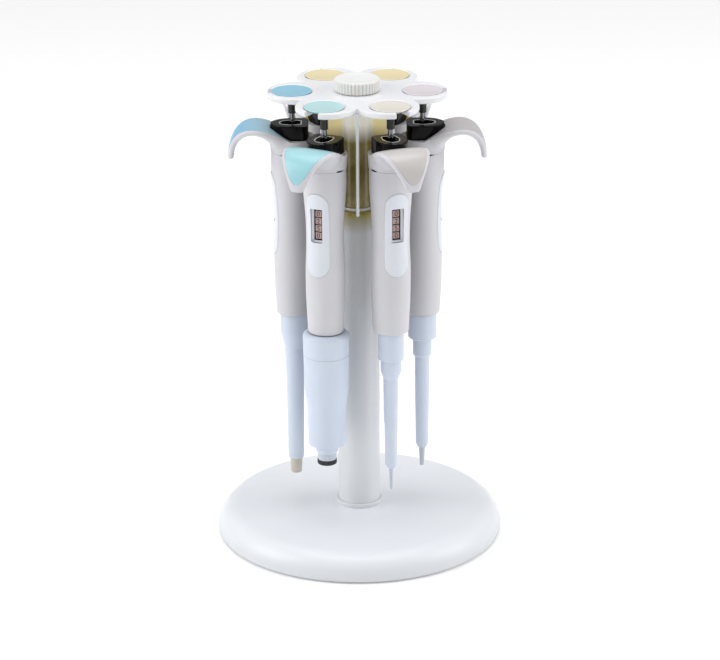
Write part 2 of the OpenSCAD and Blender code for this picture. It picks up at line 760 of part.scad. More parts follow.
// Ribbed hand nut on the end of the spindle
module retaining_knob() {
    rib_points = [for (i = [0:2 * knob_ribs - 1])
        let (a = 180 * i / knob_ribs, r = knob_r - (i % 2) * knob_rib_depth) r * [cos(a), sin(a)]];
    color(knob_colour)
        translate([0, 0, knob_z])
            difference() {
                intersection() {
                    linear_extrude(knob_h)
                        polygon(rib_points);
                    rotate_extrude()
                        polygon(concat([[0, 0], [knob_r, 0]],
                            arc_points([knob_r - knob_edge_r, knob_h - knob_edge_r],
                                       knob_edge_r, 0, 90),
                            [[knob_dish_r, knob_h], [knob_dish_r - knob_dish, knob_h - knob_dish],
                             [0, knob_h - knob_dish]]));
                }
                translate([0, 0, -over])
                    cylinder(r = spindle_r + bush_fit, h = knob_h - knob_top + over);
            }
}

// Mushroom head that hangs in the seat, with a neck that holds the rod
module push_button(k) {
    low_r = button_r - button_cone / tan(seat_angle);
    dish_r = button_r - button_border;
    color(button_colours[k - 1])
        rotate_extrude()
            polygon([[0, -button_dish], [dish_r - button_dish, -button_dish], [dish_r, 0],
                     [button_r - button_dish, 0], [button_r, -button_dish],
                     [button_r, -button_rim], [low_r, -button_t],
                     [neck_r, -button_t], [neck_r, -neck_l], [rod_r + rod_fit, -neck_l],
                     [rod_r + rod_fit, -button_t], [0, -button_t]]);
}

// Steel rod with the stop that the pipette hangs on
module push_rod(k) {
    color(steel_colour)
        rotate_extrude()
            polygon([[0, -button_t], [rod_r, -button_t], [rod_r, seam_z], [stop_r, seam_z],
                     [stop_r, seam_z - stop_t], [rod_r, seam_z - stop_t],
                     [rod_r, rod_end_z], [0, rod_end_z]]);
}

// Plan of the ejector cap, grown by a gap for its pocket
module cap_plan(gap) {
    corner = arc_points([cap_corner_r - cap_back, cap_half_w - cap_corner_r],
                        cap_corner_r + gap, 180, 90);
    bow = curve_points([[rim_rise_x, cap_half_w + gap], [cap_reach * 0.6, cap_half_w + gap],
                        [cap_reach * 0.9, cap_nose_half_w * 2 + gap],
                        [cap_reach + gap, cap_nose_half_w + gap]]);
    side = concat(corner, bow);
    polygon(concat(side, [for (i = [len(side) - 1:-1:0]) [side[i][0], -side[i][1]]]));
}

// Thumb cap that pushes the sleeve down and strips the tip
module ejector_cap(k) {
    rest_half_l = (rest_l - rest_w) / 2;
    rest_z = cap_z - rest_depth;
    color(cap_colour)
        difference() {
            translate([0, 0, cap_low_z])
                linear_extrude(cap_h)
                    difference() {
                        cap_plan(0);
                        circle(r = cap_hole_r);
                    }
            for (x = [-rest_half_l, rest_half_l])
                translate([x, 0, rest_z])
                    cylinder(d = rest_w, h = rest_depth + over);
            translate([-rest_half_l, -rest_w / 2, rest_z])
                cube([2 * rest_half_l, rest_w, rest_depth + over]);
        }
}

// Cuts for the two notches on the seam, one on each side of the head
module seam_notches() {
    chord = notch_w / 2;
    barrel_sag = head_r - sqrt(pow(head_r, 2) - pow(chord, 2));
    cut_sag = notch_depth - barrel_sag;
    cut_r = (pow(chord, 2) + pow(cut_sag, 2)) / (2 * cut_sag);
    for (side = [-1, 1])
        rotate([0, 0, side * notch_angle])
            translate([head_r - notch_depth + cut_r, 0, seam_z - notch_h / 2])
                cylinder(r = cut_r, h = notch_h);
}

// Curved finger hook, from inside the head to its tip
module hook_loft() {
    points = [for (i = [0:len(hook_rows) - 1], j = [0:hook_sides - 1])
        hook_point(i, j, in_pad(i, j) ? pad_t : 0)];
    polyhedron(points, ring_faces(len(hook_rows), hook_sides));
}

// Head with the finger hook, open above for the ejector cap
module hook_head(k) {
    rise_end_x = cap_reach + cap_gap;
    color(grip_colour)
        difference() {
            union() {
                translate([0, 0, seam_z])
                    cylinder(r1 = head_r, r2 = head_rim_r, h = head_h);
                hook_loft();
            }
            rotate([90, 0, 0])
                translate([0, 0, -2 * head_r])
                    linear_extrude(4 * head_r)
                        polygon([[-2 * head_r, rim_z], [rim_rise_x, rim_z],
                                 [rise_end_x, cap_z - cap_gap], [rise_end_x, cap_z + head_r],
                                 [-2 * head_r, cap_z + head_r]]);
            translate([0, 0, pocket_z])
                linear_extrude(2 * head_h)
                    cap_plan(cap_gap);
            translate([0, 0, seam_z - over])
                cylinder(r = rod_r + rod_fit, h = head_h);
            seam_notches();
        }
}

// Coloured pad let into the upper face of the hook
module hook_pad(k) {
    columns = hook_sides / 2 - 2 * pad_side - 1;
    points = [for (i = [pad_ring:pad_ring + pad_rows - 1]) each concat(
        [for (j = [1:columns]) hook_point(i, pad_side + j, 0)],
        [for (j = [columns:-1:1]) hook_point(i, pad_side + j, pad_t - pad_gap)])];
    color(pad_colours[k - 1])
        polyhedron(points, ring_faces(pad_rows, 2 * columns));
}

// Outline of the grip, grown by an allowance for the dial plate
module grip_outline(grow) {
    middle_l = (grip_waist_l + grip_belly_l) / 2;
    upper = [[grip_top_r, seam_z], [grip_top_r + grip_swell, seam_z - grip_waist_l * 0.4],
             [grip_waist_r, seam_z - grip_waist_l * 0.5], [grip_waist_r, seam_z - grip_waist_l]];
    lower = [[grip_waist_r, seam_z - grip_waist_l], [grip_waist_r, seam_z - middle_l],
             [grip_belly_r, seam_z - middle_l], [grip_belly_r, seam_z - grip_belly_l]];
    foot = [[grip_belly_r, seam_z - grip_belly_l],
            [grip_belly_r, seam_z - (grip_belly_l + grip_l) / 2],
            [(grip_end_r + grip_belly_r) / 2, grip_z + grip_taper_l], [grip_end_r, grip_z]];
    outer = concat(curve_points(upper), [for (i = [1:curve_steps]) curve(lower, i / curve_steps)],
                   [for (i = [1:curve_steps - 1]) curve(foot, i / curve_steps)]);
    edge = fillet(outer[len(outer) - 1], [grip_end_r, grip_z], [0, grip_z], grip_edge_r);
    polygon(concat([[0, seam_z]], [for (p = concat(outer, edge)) p + [grow, 0]], [[0, grip_z]]));
}

// Pill shape of the dial plate or its window, drawn on the outward side
module pill(z, l, w, from, depth) {
    translate([from, 0, z])
        rotate([90, 0, 90])
            linear_extrude(depth)
                union() {
                    translate([-w / 2, -l + w / 2])
                        square([w, l - w]);
                    translate([0, -w / 2])
                        circle(d = w);
                    translate([0, -l + w / 2])
                        circle(d = w);
                }
}

// Lower half of the handle, bored for the push-rod and the nozzle
module grip(k) {
    color(grip_colour)
        difference() {
            union() {
                rotate_extrude()
                    grip_outline(0);
                intersection() {
                    rotate_extrude()
                        grip_outline(dial_proud);
                    pill(dial_z, dial_l, dial_w, 0, 2 * grip_top_r);
                }
            }
            translate([grip_waist_r - window_depth, -window_w / 2, window_z - window_l])
                cube([grip_top_r, window_w, window_l]);
            translate([0, 0, stop_well_z])
                cylinder(r = stop_r + stop_gap, h = seam_z - stop_well_z + over);
            translate([0, 0, guide_z])
                cylinder(r = rod_r + rod_fit, h = guide_l + over);
            translate([0, 0, grip_z - over])
                cylinder(r = core_r(k) + socket_gap, h = socket_l + over);
            seam_notches();
        }
}

// Inner barrel with the cone that takes the tip
module nozzle(k) {
    core_end_z = shaft_end_z(k) + sleeve_gap;
    hole_r = tip_end_r(k) / 2;
    color(nozzle_colour)
        rotate_extrude()
            polygon([[0, grip_z + socket_l], [core_r(k), grip_z + socket_l],
                     [core_r(k), core_end_z], [tip_r(k), core_end_z],
                     [tip_r(k), sleeve_end_z(k)], [tip_end_r(k), tip_end_z(k)],
                     [hole_r, tip_end_z(k)], [hole_r, tip_end_z(k) + air_hole_l],
                     [0, tip_end_z(k) + air_hole_l]]);
}

// Outer sleeve that slides down over the nozzle
module ejector_sleeve(k) {
    bore_r = core_r(k) + sleeve_gap;
    edge = sleeve_edge_r;
    color(sleeve_colour)
        rotate_extrude()
            polygon(rounded(
                [[bore_r, sleeve_z], [collar_r(k), sleeve_z], [collar_r(k), shoulder_z(k)],
                 [ring_r(k), ring_z(k)], [ring_r(k), neck_z(k)], [shaft_r(k), shaft_z(k)],
                 [shaft_end_r(k), shaft_end_z(k)], [tip_r(k) + sleeve_gap + lip_w, sleeve_end_z(k)],
                 [tip_r(k) + sleeve_gap, sleeve_end_z(k)], [tip_r(k) + sleeve_gap, shaft_end_z(k)],
                 [bore_r, shaft_end_z(k)]],
                [0, edge / 2, edge, edge, edge, edge, edge / 2, 0, 0, 0, 0]));
}

base_shell();
base_ballast();
base_cover();
rubber_feet();
column_tube();
column_collar();
spindle();
thrust_washer();
hub_bushes();
rotor_fins();
rotor_plate();
retaining_knob();
for (k = stations) {
    at_station(k) push_button(k);
    at_station(k) push_rod(k);
    at_station(k) ejector_cap(k);
    at_station(k) hook_head(k);
    at_station(k) hook_pad(k);
    at_station(k) grip(k);
    at_station(k) nozzle(k);
    at_station(k) ejector_sleeve(k);
}
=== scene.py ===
"""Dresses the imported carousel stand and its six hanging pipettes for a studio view.

Outlines are drawn in millimetres about a piece's own axis, and every piece is then set in place, in metres,
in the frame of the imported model. Station 1 lies on +X and the stations run counter-clockwise from above.
A pipette's own frame has z = 0 at the top of its push-button and x pointing away from the stand.
"""

import math
from types import SimpleNamespace

import bmesh
import bpy
from bpy.props import FloatProperty, FloatVectorProperty, IntProperty, PointerProperty
from bpy.types import Operator, Panel, PropertyGroup
from mathutils import Matrix, Vector


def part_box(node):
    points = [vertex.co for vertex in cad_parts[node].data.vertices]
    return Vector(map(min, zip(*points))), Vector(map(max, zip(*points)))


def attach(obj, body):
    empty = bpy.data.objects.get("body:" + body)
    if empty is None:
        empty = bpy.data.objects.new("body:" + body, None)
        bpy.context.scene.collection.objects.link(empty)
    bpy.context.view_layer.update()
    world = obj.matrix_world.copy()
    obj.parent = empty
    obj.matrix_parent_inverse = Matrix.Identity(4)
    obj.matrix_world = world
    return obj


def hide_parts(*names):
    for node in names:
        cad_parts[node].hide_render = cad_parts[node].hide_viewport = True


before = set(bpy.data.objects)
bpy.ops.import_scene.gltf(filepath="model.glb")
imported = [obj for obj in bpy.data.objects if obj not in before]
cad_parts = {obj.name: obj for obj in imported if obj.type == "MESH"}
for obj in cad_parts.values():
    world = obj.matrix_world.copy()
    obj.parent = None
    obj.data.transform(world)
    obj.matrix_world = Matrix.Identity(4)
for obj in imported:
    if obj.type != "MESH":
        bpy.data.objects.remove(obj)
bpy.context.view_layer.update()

bl_info = {
    "name": "Pipette Carousel Stand",
    "version": (1, 0, 0),
    "blender": (4, 5, 0),
    "location": "View3D > Sidebar > Carousel",
    "description": "Builds the looks of a carousel stand and its six pipettes around their packed frame",
    "category": "Object",
}

STATIONS = range(1, 7)
STATION_ANGLE = 60
MM = Matrix.Scale(0.001, 4)
OUTWARDS = Matrix.Rotation(math.radians(90), 4, "Z") @ Matrix.Rotation(math.radians(90), 4, "X")
FULL_TURN = 2 * math.pi

# How far each pipette is turned about its own axis, in degrees
TURN_AT = {1: 0, 2: 0, 3: 0, 4: 0, 5: 5, 6: -10}

# The barrel and the shade of the pad and push-button at each station
BARREL_AT = {1: "slim", 2: "slim", 3: "slim", 4: "medium", 5: "wide", 6: "fine"}
SHADE_AT = {1: "grey", 2: "yellow", 3: "yellow", 4: "blue", 5: "cyan", 6: "cream"}

# Sleeves from the top down: radius, drop to the next corner and rounding of the corner, in millimetres
SLEEVES = {
    "slim": [(8.85, 16.5, 0.9), (8.85, 1.5, 0.6), (5.8, 10, 0.7), (5.8, 1.4, 0.5), (4.65, 58.5, 1.2), (3.95, 2.6, 0.8)],
    "medium": [(8.75, 12, 3), (8.75, 11, 1.5), (6.35, 2, 0.5), (6.35, 20, 3), (5.5, 49.4, 1.5), (4.95, 2.6, 0.8)],
    "fine": [(7.8, 18, 0.9), (7.8, 0.8, 0.5), (6.35, 6.9, 0.8), (6.35, 5.7, 1.2), (4.5, 56.6, 1.2), (3.65, 2.6, 0.8)],
    "wide": [(14.2, 14.3, 0.15), (14.0, 0.35, 0.1), (13.65, 0.35, 0.1), (13.9, 22.4, 3), (13.45, 11.5, 6),
             (11.85, 24.6, 1.8), (11.35, 1.1, 0.5), (7.1, 2.0, 0.3), (7.0, 2.6, 0.5)],
}

# Nozzle ends: radius at the sleeve, radius at the end and length below the sleeve, in millimetres
NOZZLES = {"slim": (2, 1.3, 12.6), "medium": (3.9, 3.4, 10), "fine": (1.25, 0.8, 14.3), "wide": (5.75, 5.65, 7.6)}

# Fits, walls and depths that hardly show, in millimetres
CLOSE_FIT = 0.1
ROD_FIT = 0.05
SPIGOT_H = 8
COLUMN_PLUG = 8
BOLT_HEAD_R = 7.6
BOLT_HEAD_H = 5
POCKET_FLOOR = 2.2
SOCKET_L = 14
SLEEVE_GAP = 0.3
SLEEVE_END = 2.6
SLEEVE_WALL = 1.3

# Rounding of a sleeve's shoulder, and the seal ring on the wide nozzle, in millimetres
SHOULDER, WIDE_SHOULDER = 0.6, 3.2
SEAL_R, SEAL_H = 6.0, 3.2

# Control sizes of the hook's side view and of its half width, in millimetres
HOOK = SimpleNamespace(
    root_x=-1, root_drop=7.4, arch=8.2, arch_share=0.68, brow=1.4, brow_inset=0.7, throat_in=0.2, throat_drop=13.4,
    under_in=2.5, under_out=4.3, under_rise=0.6, tip_t=3.6, half_widths=(13.0, 20.2, 12.0, 4.0))
HOOK_SQUARENESS = 2.6

# Height of the hook's side line in its section, as a share, and how far the share falls towards the tip
HOOK_SIDE_HIGH, HOOK_SIDE_FALL = 0.82, 0.3

# Slope of the cap's underside and its pocket's floor near the nose
NOSE_SLOPE = 0.42

# Where the pad starts, closes in and ends along the hook
PAD_FIRST, PAD_CLOSING, PAD_LAST = 0.03, 0.8, 0.93

# Radii of the grip, two of them with their height from the seam, in millimetres
GRIP_TOP_R = 13
GRIP_WAIST = (11.4, -43)
GRIP_BELLY = (12, -66)
GRIP_END_R = 10.8

# Release notches: degrees from the hook, and depth in millimetres
NOTCH_ANGLES = (72, -72)
NOTCH_DEPTH = 0.8

# Distances from the pipette's axis to the faces inside the window, in millimetres
WINDOW_X, SLOT_X, FUNNEL_X = 10.5, 9.5, 8.6
WELL_FRONT, WELL_BACK, WELL_WALL = 9.4, 8.45, 0.15
DRUM_R, DRUM_BACK_R, DRUM_HALF_ANGLE = 9.2, 8.7, 12.5
SLOT_END = 1.1
DIGITS = "0250"

# Floor, camera and lamps: place, size and power of each lamp, in metres, degrees and watts
FLOOR_R = 9.0
CAMERA = SimpleNamespace(lens=158.5, sensor=36, pitch=20.6, roll=-0.3, distance=1.965, aim_x=0.00093, aim_z=0.132)
LAMPS = {"key": ((-2.1, -0.4, 1.2), 1.6, 26), "fill": ((2.1, -0.2, 1.2), 1.6, 22), "top": ((0.0, 0.2, 2.4), 1.8, 26)}
LAMPS_LOOK_AT = (0, 0, 0.13)
ROOM_LIGHT = 0.40


def size_of(node, axis, corner=1):
    """A coordinate of a CAD node's box, in metres."""
    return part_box(node)[corner][axis]


def length(name, description, millimetres):
    """A size that is given in millimetres and kept in metres."""
    return FloatProperty(name=name, description=description, default=millimetres / 1000, unit="LENGTH", precision=5)


def measured(name, description, metres):
    """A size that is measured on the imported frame."""
    return FloatProperty(name=name, description=description, default=metres, unit="LENGTH", precision=5)


def linear(channel):
    """One 8-bit channel of a screen colour as linear light."""
    value = channel / 255
    return value / 12.92 if value <= 0.04045 else ((value + 0.055) / 1.055) ** 2.4


def tint(name, description, red, green, blue):
    """A colour that is given as it looks on a screen."""
    return FloatVectorProperty(name=name, description=description, subtype="COLOR", size=3, min=0, max=1,
                               default=(linear(red), linear(green), linear(blue)))


class StandSizes(PropertyGroup):
    """Sizes of the base, the column, the rotor and the knob."""
    base_r: measured("Base radius", "Radius of the base at its widest", size_of("base_shell", 0))
    base_top: measured("Base height", "Height of the base under the column", size_of("column_tube", 2, 0))
    base_edge_r: length("Base edge", "Radius of the rounded edge of the base", 12.6)
    base_edge_z: length("Widest line", "Height of the widest line above the table", 4.2)
    base_wall: length("Base wall", "Wall of the moulded base", 3)
    base_lip: length("Base lip", "Rounding of the base's lower lip", 0.5)
    boss_r: length("Boss radius", "Radius of the boss under the column", 19)
    column_r: measured("Column radius", "Outer radius of the column", size_of("column_tube", 0))
    column_top: measured("Column top", "Height of the column's top", size_of("column_tube", 2))
    column_wall: length("Column wall", "Wall of the column", 2.5)
    column_rounding: length("Column rounding", "Rounding of the column's top edge", 1)
    collar_r: measured("Collar radius", "Outer radius of the ring round the column's foot", size_of("column_collar", 0))
    collar_top: measured("Collar top", "Height of the top of that ring", size_of("column_collar", 2))
    spindle_r: length("Spindle radius", "Radius of the steel spindle", 4)
    hub_r: length("Hub radius", "Radius of the rotor's hub", 10)
    bush_r: measured("Bush radius", "Radius of the bushes in the hub", size_of("hub_bushes", 0))
    fin_r: length("Fin reach", "Distance from the axis to the outer edge of a fin", 25.6)
    fin_t: length("Fin thickness", "Thickness of a fin", 1.9)
    fin_root: length("Fin root", "Rounding where a fin meets the hub", 1.3)
    rotor_low: measured("Rotor foot", "Height of the lower end of the hub", size_of("rotor_fins", 2, 0))
    plate_low: measured("Plate underside", "Height of the plate's lower face", size_of("rotor_plate", 2, 0))
    plate_top: measured("Plate top", "Height of the plate's upper face", size_of("rotor_plate", 2))
    plate_rounding: length("Plate rounding", "Rounding of the plate's outer edges", 1.1)
    slot_rounding: length("Slot rounding", "Rounding of the edges of the slots", 0.3)
    hang_r: length("Hang radius", "Radius of the circle that the pipettes hang on", 39.5)
    lobe_r: length("Lobe radius", "Radius of a lobe", 19.1)
    lobe_inset: length("Lobe inset", "Distance from the hang circle in to the centres of the lobes", 3.8)
    notch_r: length("Notch rounding", "Rounding of the notches between the lobes", 1.6)
    slot_w: length("Slot width", "Width of a slot", 9)
    seat_low_r: length("Seat radius", "Radius of the floor of a seat", 9.83)
    seat_top_r: length("Seat mouth", "Radius of the mouth of a seat", 13.64)
    seat_depth: length("Seat depth", "Depth of a seat", 2.2)
    knob_r: length("Knob radius", "Radius of the knob over its ribs", 14)
    knob_low: measured("Knob underside", "Height of the knob's lower face", size_of("retaining_knob", 2, 0))
    knob_top: measured("Knob top", "Height of the knob's upper face", size_of("retaining_knob", 2))
    knob_edge: length("Knob edge", "Rounding of the knob's top edge", 1.6)
    knob_groove: length("Knob groove", "Depth of the grooves between the knob's ribs", 0.6)
    knob_ribs: IntProperty(name="Knob ribs", description="Number of ribs round the knob", default=40, min=12)


class HandleSizes(PropertyGroup):
    """Sizes of the push-button, the head with its hook and pad, and the grip."""
    button_r: length("Button radius", "Radius of the push-button", 12)
    button_rim: length("Button rim", "Height of the straight rim of the push-button", 0.6)
    button_low_r: length("Button underside", "Radius of the push-button's flat underside", 9.23)
    button_t: length("Button thickness", "Thickness of the push-button", 2.2)
    button_dish: length("Button dish", "Depth of the hollow in the push-button", 0.4)
    neck_r: length("Neck radius", "Radius of the neck under the push-button", 2.4)
    neck_l: length("Neck length", "Length of the neck from the top of the push-button", 14)
    rod_r: length("Rod radius", "Radius of the push-rod", 1.7)
    cap_z: length("Cap drop", "Drop of the cap's top below the push-button", 21.7)
    cap_h: length("Cap height", "Height of the ejector cap", 8.6)
    cap_back: length("Cap back", "Distance from the axis to the cap's inner end", 9.8)
    cap_reach: length("Cap reach", "Distance from the axis to the cap's nose", 13.2)
    cap_half_w: length("Cap half width", "Half the width of the cap", 9.8)
    cap_rise: length("Cap rise", "How far the cap stands up out of the head's nose", 1.6)
    cap_corner_r: length("Cap corner", "Radius of the cap's inner corners", 3.5)
    cap_nose_half_w: length("Cap nose", "Half the width of the cap's nose", 2.4)
    cap_hole_r: length("Cap hole", "Radius of the cap's hole", 3.2)
    cap_edge: length("Cap edge", "Rounding of the cap's edges", 0.7)
    cap_gap: length("Cap gap", "Gap between the cap and its pocket", 0.3)
    ring_half_l: length("Ring half length", "Half the length of the oval ring on the cap", 8.3)
    ring_half_w: length("Ring half width", "Half the width of the oval ring on the cap", 5.5)
    ring_w: length("Ring width", "Width of the oval ring's band", 0.9)
    well_depth: length("Well depth", "Depth of the oval well in the cap", 1.2)
    head_r: length("Head radius", "Radius of the head at the seam", 13.2)
    head_rim_r: length("Head rim", "Radius of the head level with the cap's top", 14.2)
    head_h: length("Head height", "Height from the seam to the cap's top", 17.3)
    rim_drop: length("Rim drop", "Drop of the head's inner rim below the cap's top", 7.2)
    rim_rise_x: length("Rim rise", "Distance from the axis to where the rim starts to rise", 1)
    hook_reach: length("Hook reach", "Distance from the axis to the outer face of the tip", 39.2)
    hook_drop: length("Hook drop", "Drop of the tip below the cap's top", 20.3)
    pad_t: length("Pad thickness", "Thickness of the coloured pad", 1)
    pad_rim: length("Pad rim", "Width of the rim left round the pad", 2.3)
    pad_gap: length("Pad gap", "Fine gap round the pad", 0.12)
    grip_l: length("Grip length", "Length of the grip below the seam", 102.8)
    seam_rounding: length("Seam rounding", "Rounding of the edges at the seam", 0.35)
    seam_lift: length("Seam lift", "How far the grip's shell reaches up past the packed seam", 1.5)
    mark_l: length("Notch length", "Length of the dark release notch at the seam", 7.5)
    mark_h: length("Notch height", "Height of the dark release notch", 1.5)
    dial_drop: length("Dial drop", "Distance from the seam to the top of the dial plate", 12)
    dial_l: length("Dial length", "Length of the dial plate", 52.5)
    dial_w: length("Dial width", "Width of the dial plate", 14.6)
    dial_proud: length("Dial thickness", "How far the dial plate stands proud of the grip", 0.5)
    window_drop: length("Window drop", "Distance from the top of the dial plate to its window", 9.5)
    window_l: length("Window length", "Length of the window", 21.4)
    window_w: length("Window width", "Width of the window", 7.8)
    drum_slot_w: length("Drum slot", "Width of the dark slot that the drums show in", 5.2)


class Finishes(PropertyGroup):
    """Colours of the stand and the pipettes."""
    base: tint("Base", "Gloss white of the base", 238, 241, 246)
    column: tint("Column", "White of the column", 226, 229, 232)
    rotor: tint("Rotor", "White plastic of the lobed plate", 233, 235, 239)
    # Painted light and shade on the hub and fins: the hub's near white is its pale plastic and partly a painted
    # reflection, the fins' cream-olive is partly the plastic's tint and partly painted shade, and the deeper olive is
    # painted shade, also laid under the rotor on the column.
    hub: tint("Hub", "Pale plastic of the hub under the plate", 250, 253, 252)
    fins: tint("Fins", "Olive-tinged plastic of the fins", 252, 240, 190)
    fins_low: tint("Lower fins", "Deeper olive of the lower hub and fins", 96, 87, 36)
    knob: tint("Knob", "White plastic of the knob", 236, 238, 238)
    steel: tint("Steel", "Steel of the rods and the spindle", 205, 205, 208)
    cap: tint("Cap", "Black of the ejector caps", 7, 6, 7)
    ring: tint("Ring", "Pale ring on the caps", 232, 233, 236)
    grip: tint("Grip", "Light grey of the handles", 215, 215, 220)
    label: tint("Label", "White of the dial plates", 226, 230, 238)
    sleeve: tint("Sleeve", "Cool white of the sleeves", 214, 223, 238)
    nozzle: tint("Nozzle", "White of the nozzles", 200, 208, 220)
    nozzle_cream: tint("Cream nozzle", "Cream of the medium nozzle", 206, 203, 188)
    drum: tint("Drum", "Pale pink of the number drums", 196, 166, 160)
    rubber: tint("Rubber", "Dark rubber", 40, 40, 42)
    # The pad colours are paled as a painted reflection of the white surround; each pad turns to its deeper tip colour
    # towards the tip.
    blue: tint("Blue", "Pad of station 4", 178, 208, 220)
    cyan: tint("Cyan", "Pad of station 5", 172, 217, 224)
    cream: tint("Cream", "Pad of station 6", 210, 208, 207)
    grey: tint("Grey", "Pad of station 1", 198, 194, 196)
    yellow: tint("Yellow", "Pads of stations 2 and 3", 240, 214, 130)
    blue_tip: tint("Blue tip", "Pad of station 4 near its tip", 96, 178, 214)
    cyan_tip: tint("Cyan tip", "Pad of station 5 near its tip", 160, 215, 224)
    cream_tip: tint("Cream tip", "Pad of station 6 near its tip", 198, 194, 192)
    grey_tip: tint("Grey tip", "Pad of station 1 near its tip", 186, 182, 184)
    yellow_tip: tint("Yellow tip", "Pads of stations 2 and 3 near their tips", 240, 206, 110)
    button_blue: tint("Blue button", "Push-button of station 4", 140, 199, 221)
    button_cyan: tint("Cyan button", "Push-button of station 5", 186, 226, 229)
    button_cream: tint("Cream button", "Push-button of station 6", 232, 228, 218)
    button_grey: tint("Grey button", "Push-button of station 1", 226, 219, 224)
    button_yellow: tint("Yellow button", "Push-buttons of stations 2 and 3", 238, 223, 176)
    floor: tint("Floor", "Pale floor", 250, 250, 250)


def in_mm(group):
    """The lengths of a property group in millimetres, and its counts as they are."""
    values = {}
    for item in group.bl_rna.properties:
        if item.type == "FLOAT":
            values[item.identifier] = getattr(group, item.identifier) * 1000
        elif item.type == "INT":
            values[item.identifier] = getattr(group, item.identifier)
    return SimpleNamespace(**values)


# ---------------------------------------------------------------- outlines

def arc(centre, radius, start, end, steps=12):
    """Points of an arc, from one angle in degrees to another."""
    return [(centre[0] + radius * math.cos(math.radians(start + (end - start) * i / steps)),
             centre[1] + radius * math.sin(math.radians(start + (end - start) * i / steps)))
            for i in range(steps + 1)]


def bezier(points, t):
    """Point on a cubic curve with four control points."""
    weights = ((1 - t) ** 3, 3 * t * (1 - t) ** 2, 3 * t * t * (1 - t), t ** 3)
    return sum((Vector(p) * w for p, w in zip(points, weights)), Vector((0,) * len(points[0])))


def bezier_number(values, t):
    """The same curve for plain numbers."""
    return bezier([(v, 0) for v in values], t)[0]


def rounded(corners, closed=False):
    """Rounds an outline of (a, b) or (a, b, radius) corners with short arcs."""
    count = len(corners)
    outline = []
    for i, corner in enumerate(corners):
        here = Vector(corner[:2])
        radius = corner[2] if len(corner) > 2 else 0
        if radius <= 0 or (not closed and i in (0, count - 1)):
            outline.append(tuple(here))
            continue
        back = Vector(corners[i - 1][:2]) - here
        ahead = Vector(corners[(i + 1) % count][:2]) - here
        half = back.angle(ahead) / 2
        reach = min(radius / math.tan(half), 0.48 * back.length, 0.48 * ahead.length)
        start, end = here + back.normalized() * reach, here + ahead.normalized() * reach
        steps = max(2, round((math.pi - 2 * half) / math.radians(13)))
        bulge = here + (back.normalized() + ahead.normalized()).normalized() * reach / math.cos(half)
        first, last = start - bulge, end - bulge
        turn = first.angle_signed(last)
        for s in range(steps + 1):
            spoke = Matrix.Rotation(-turn * s / steps, 2) @ first
            outline.append(tuple(bulge + spoke))
    return outline


def inset(outline, distance):
    """A closed outline moved inwards; its points run counter-clockwise."""
    count = len(outline)
    moved = []
    for i in range(count):
        before, here, after = (Vector(outline[(i + s) % count]) for s in (-1, 0, 1))
        one, two = (here - before).normalized(), (after - here).normalized()
        normal = Vector((-(one.y + two.y), one.x + two.x))
        if normal.length < 1e-6:
            moved.append(tuple(here))
            continue
        normal.normalize()
        stretch = max(0.5, Vector((-one.y, one.x)).dot(normal))
        moved.append(tuple(here + normal * distance / stretch))
    return moved


def spun(corners, degrees):
    """Corners of a plan turned about the origin, with their roundings."""
    turn = Matrix.Rotation(math.radians(degrees), 2)
    return [tuple(turn @ Vector(p[:2])) + tuple(p[2:]) for p in corners]


# ---------------------------------------------------------------- meshes

def band(bm, low, high):
    """Faces between two rings of vertices; a ring of one vertex is a point on the axis."""
    count = max(len(low), len(high))
    for i in range(count):
        j = (i + 1) % count
        corners = [low[i % len(low)], low[j % len(low)], high[j % len(high)], high[i % len(high)]]
        corners = [v for n, v in enumerate(corners) if v not in corners[:n]]
        if len(corners) > 2:
            bm.faces.new(corners)


def rings_mesh(rings, closed=False, capped=False):
    """A mesh from rings of points, joined one after another."""
    bm = bmesh.new()
    rows = [[bm.verts.new(p) for p in ring] for ring in rings]
    for low, high in zip(rows, rows[1:] + (rows[:1] if closed else [])):
        band(bm, low, high)
    if capped:
        bm.faces.new(rows[0])
        bm.faces.new(rows[-1])
    bmesh.ops.recalc_face_normals(bm, faces=bm.faces)
    return bm


def circle(radius, z, sides):
    """Points of a level circle, or the one point on the axis."""
    if radius < 1e-4:
        return [(0, 0, z)]
    turns = [FULL_TURN * i / sides for i in range(sides)]
    return [(radius * math.cos(a), radius * math.sin(a), z) for a in turns]


def turned(outline, sides=96, closed=False):
    """A mesh turned about the z axis from an outline of (radius, height) points."""
    return rings_mesh([circle(radius, z, sides) for radius, z in outline], closed)


def slab(outline, low, high, edge=0.0, hole=None, steps=4):
    """A plate from a closed plan, with rounded edges and an optional hole with as many points."""
    bends = [edge * (1 - math.sin(math.pi / 2 * s / steps)) for s in range(steps + 1)]
    rises = [edge * (1 - math.cos(math.pi / 2 * s / steps)) for s in range(steps + 1)]
    levels = [(b, low + r) for b, r in zip(bends, rises)] if edge else [(0, low)]
    levels += [(b, high - r) for b, r in zip(reversed(bends), reversed(rises))] if edge else [(0, high)]
    rings = [[(x, y, z) for x, y in (inset(outline, b) if b else outline)] for b, z in levels]
    if hole:
        rings = [[(x, y, low) for x, y in hole]] + rings + [[(x, y, high) for x, y in hole]]
    return rings_mesh(rings, closed=bool(hole), capped=not hole)


def shade(mesh, sharp):
    """Smooth shading that keeps edges sharp from an angle in degrees."""
    mesh.shade_smooth()
    mesh.set_sharp_from_angle(angle=math.radians(sharp))


def piece(name, bm, place=MM, sharp=32):
    """Turns a mesh in millimetres into an object in metres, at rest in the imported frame."""
    mesh = bpy.data.meshes.new(name)
    bm.to_mesh(mesh)
    bm.free()
    mesh.transform(place)
    made = bpy.data.objects.new(name, mesh)
    bpy.context.scene.collection.objects.link(made)
    shade(mesh, sharp)
    return made


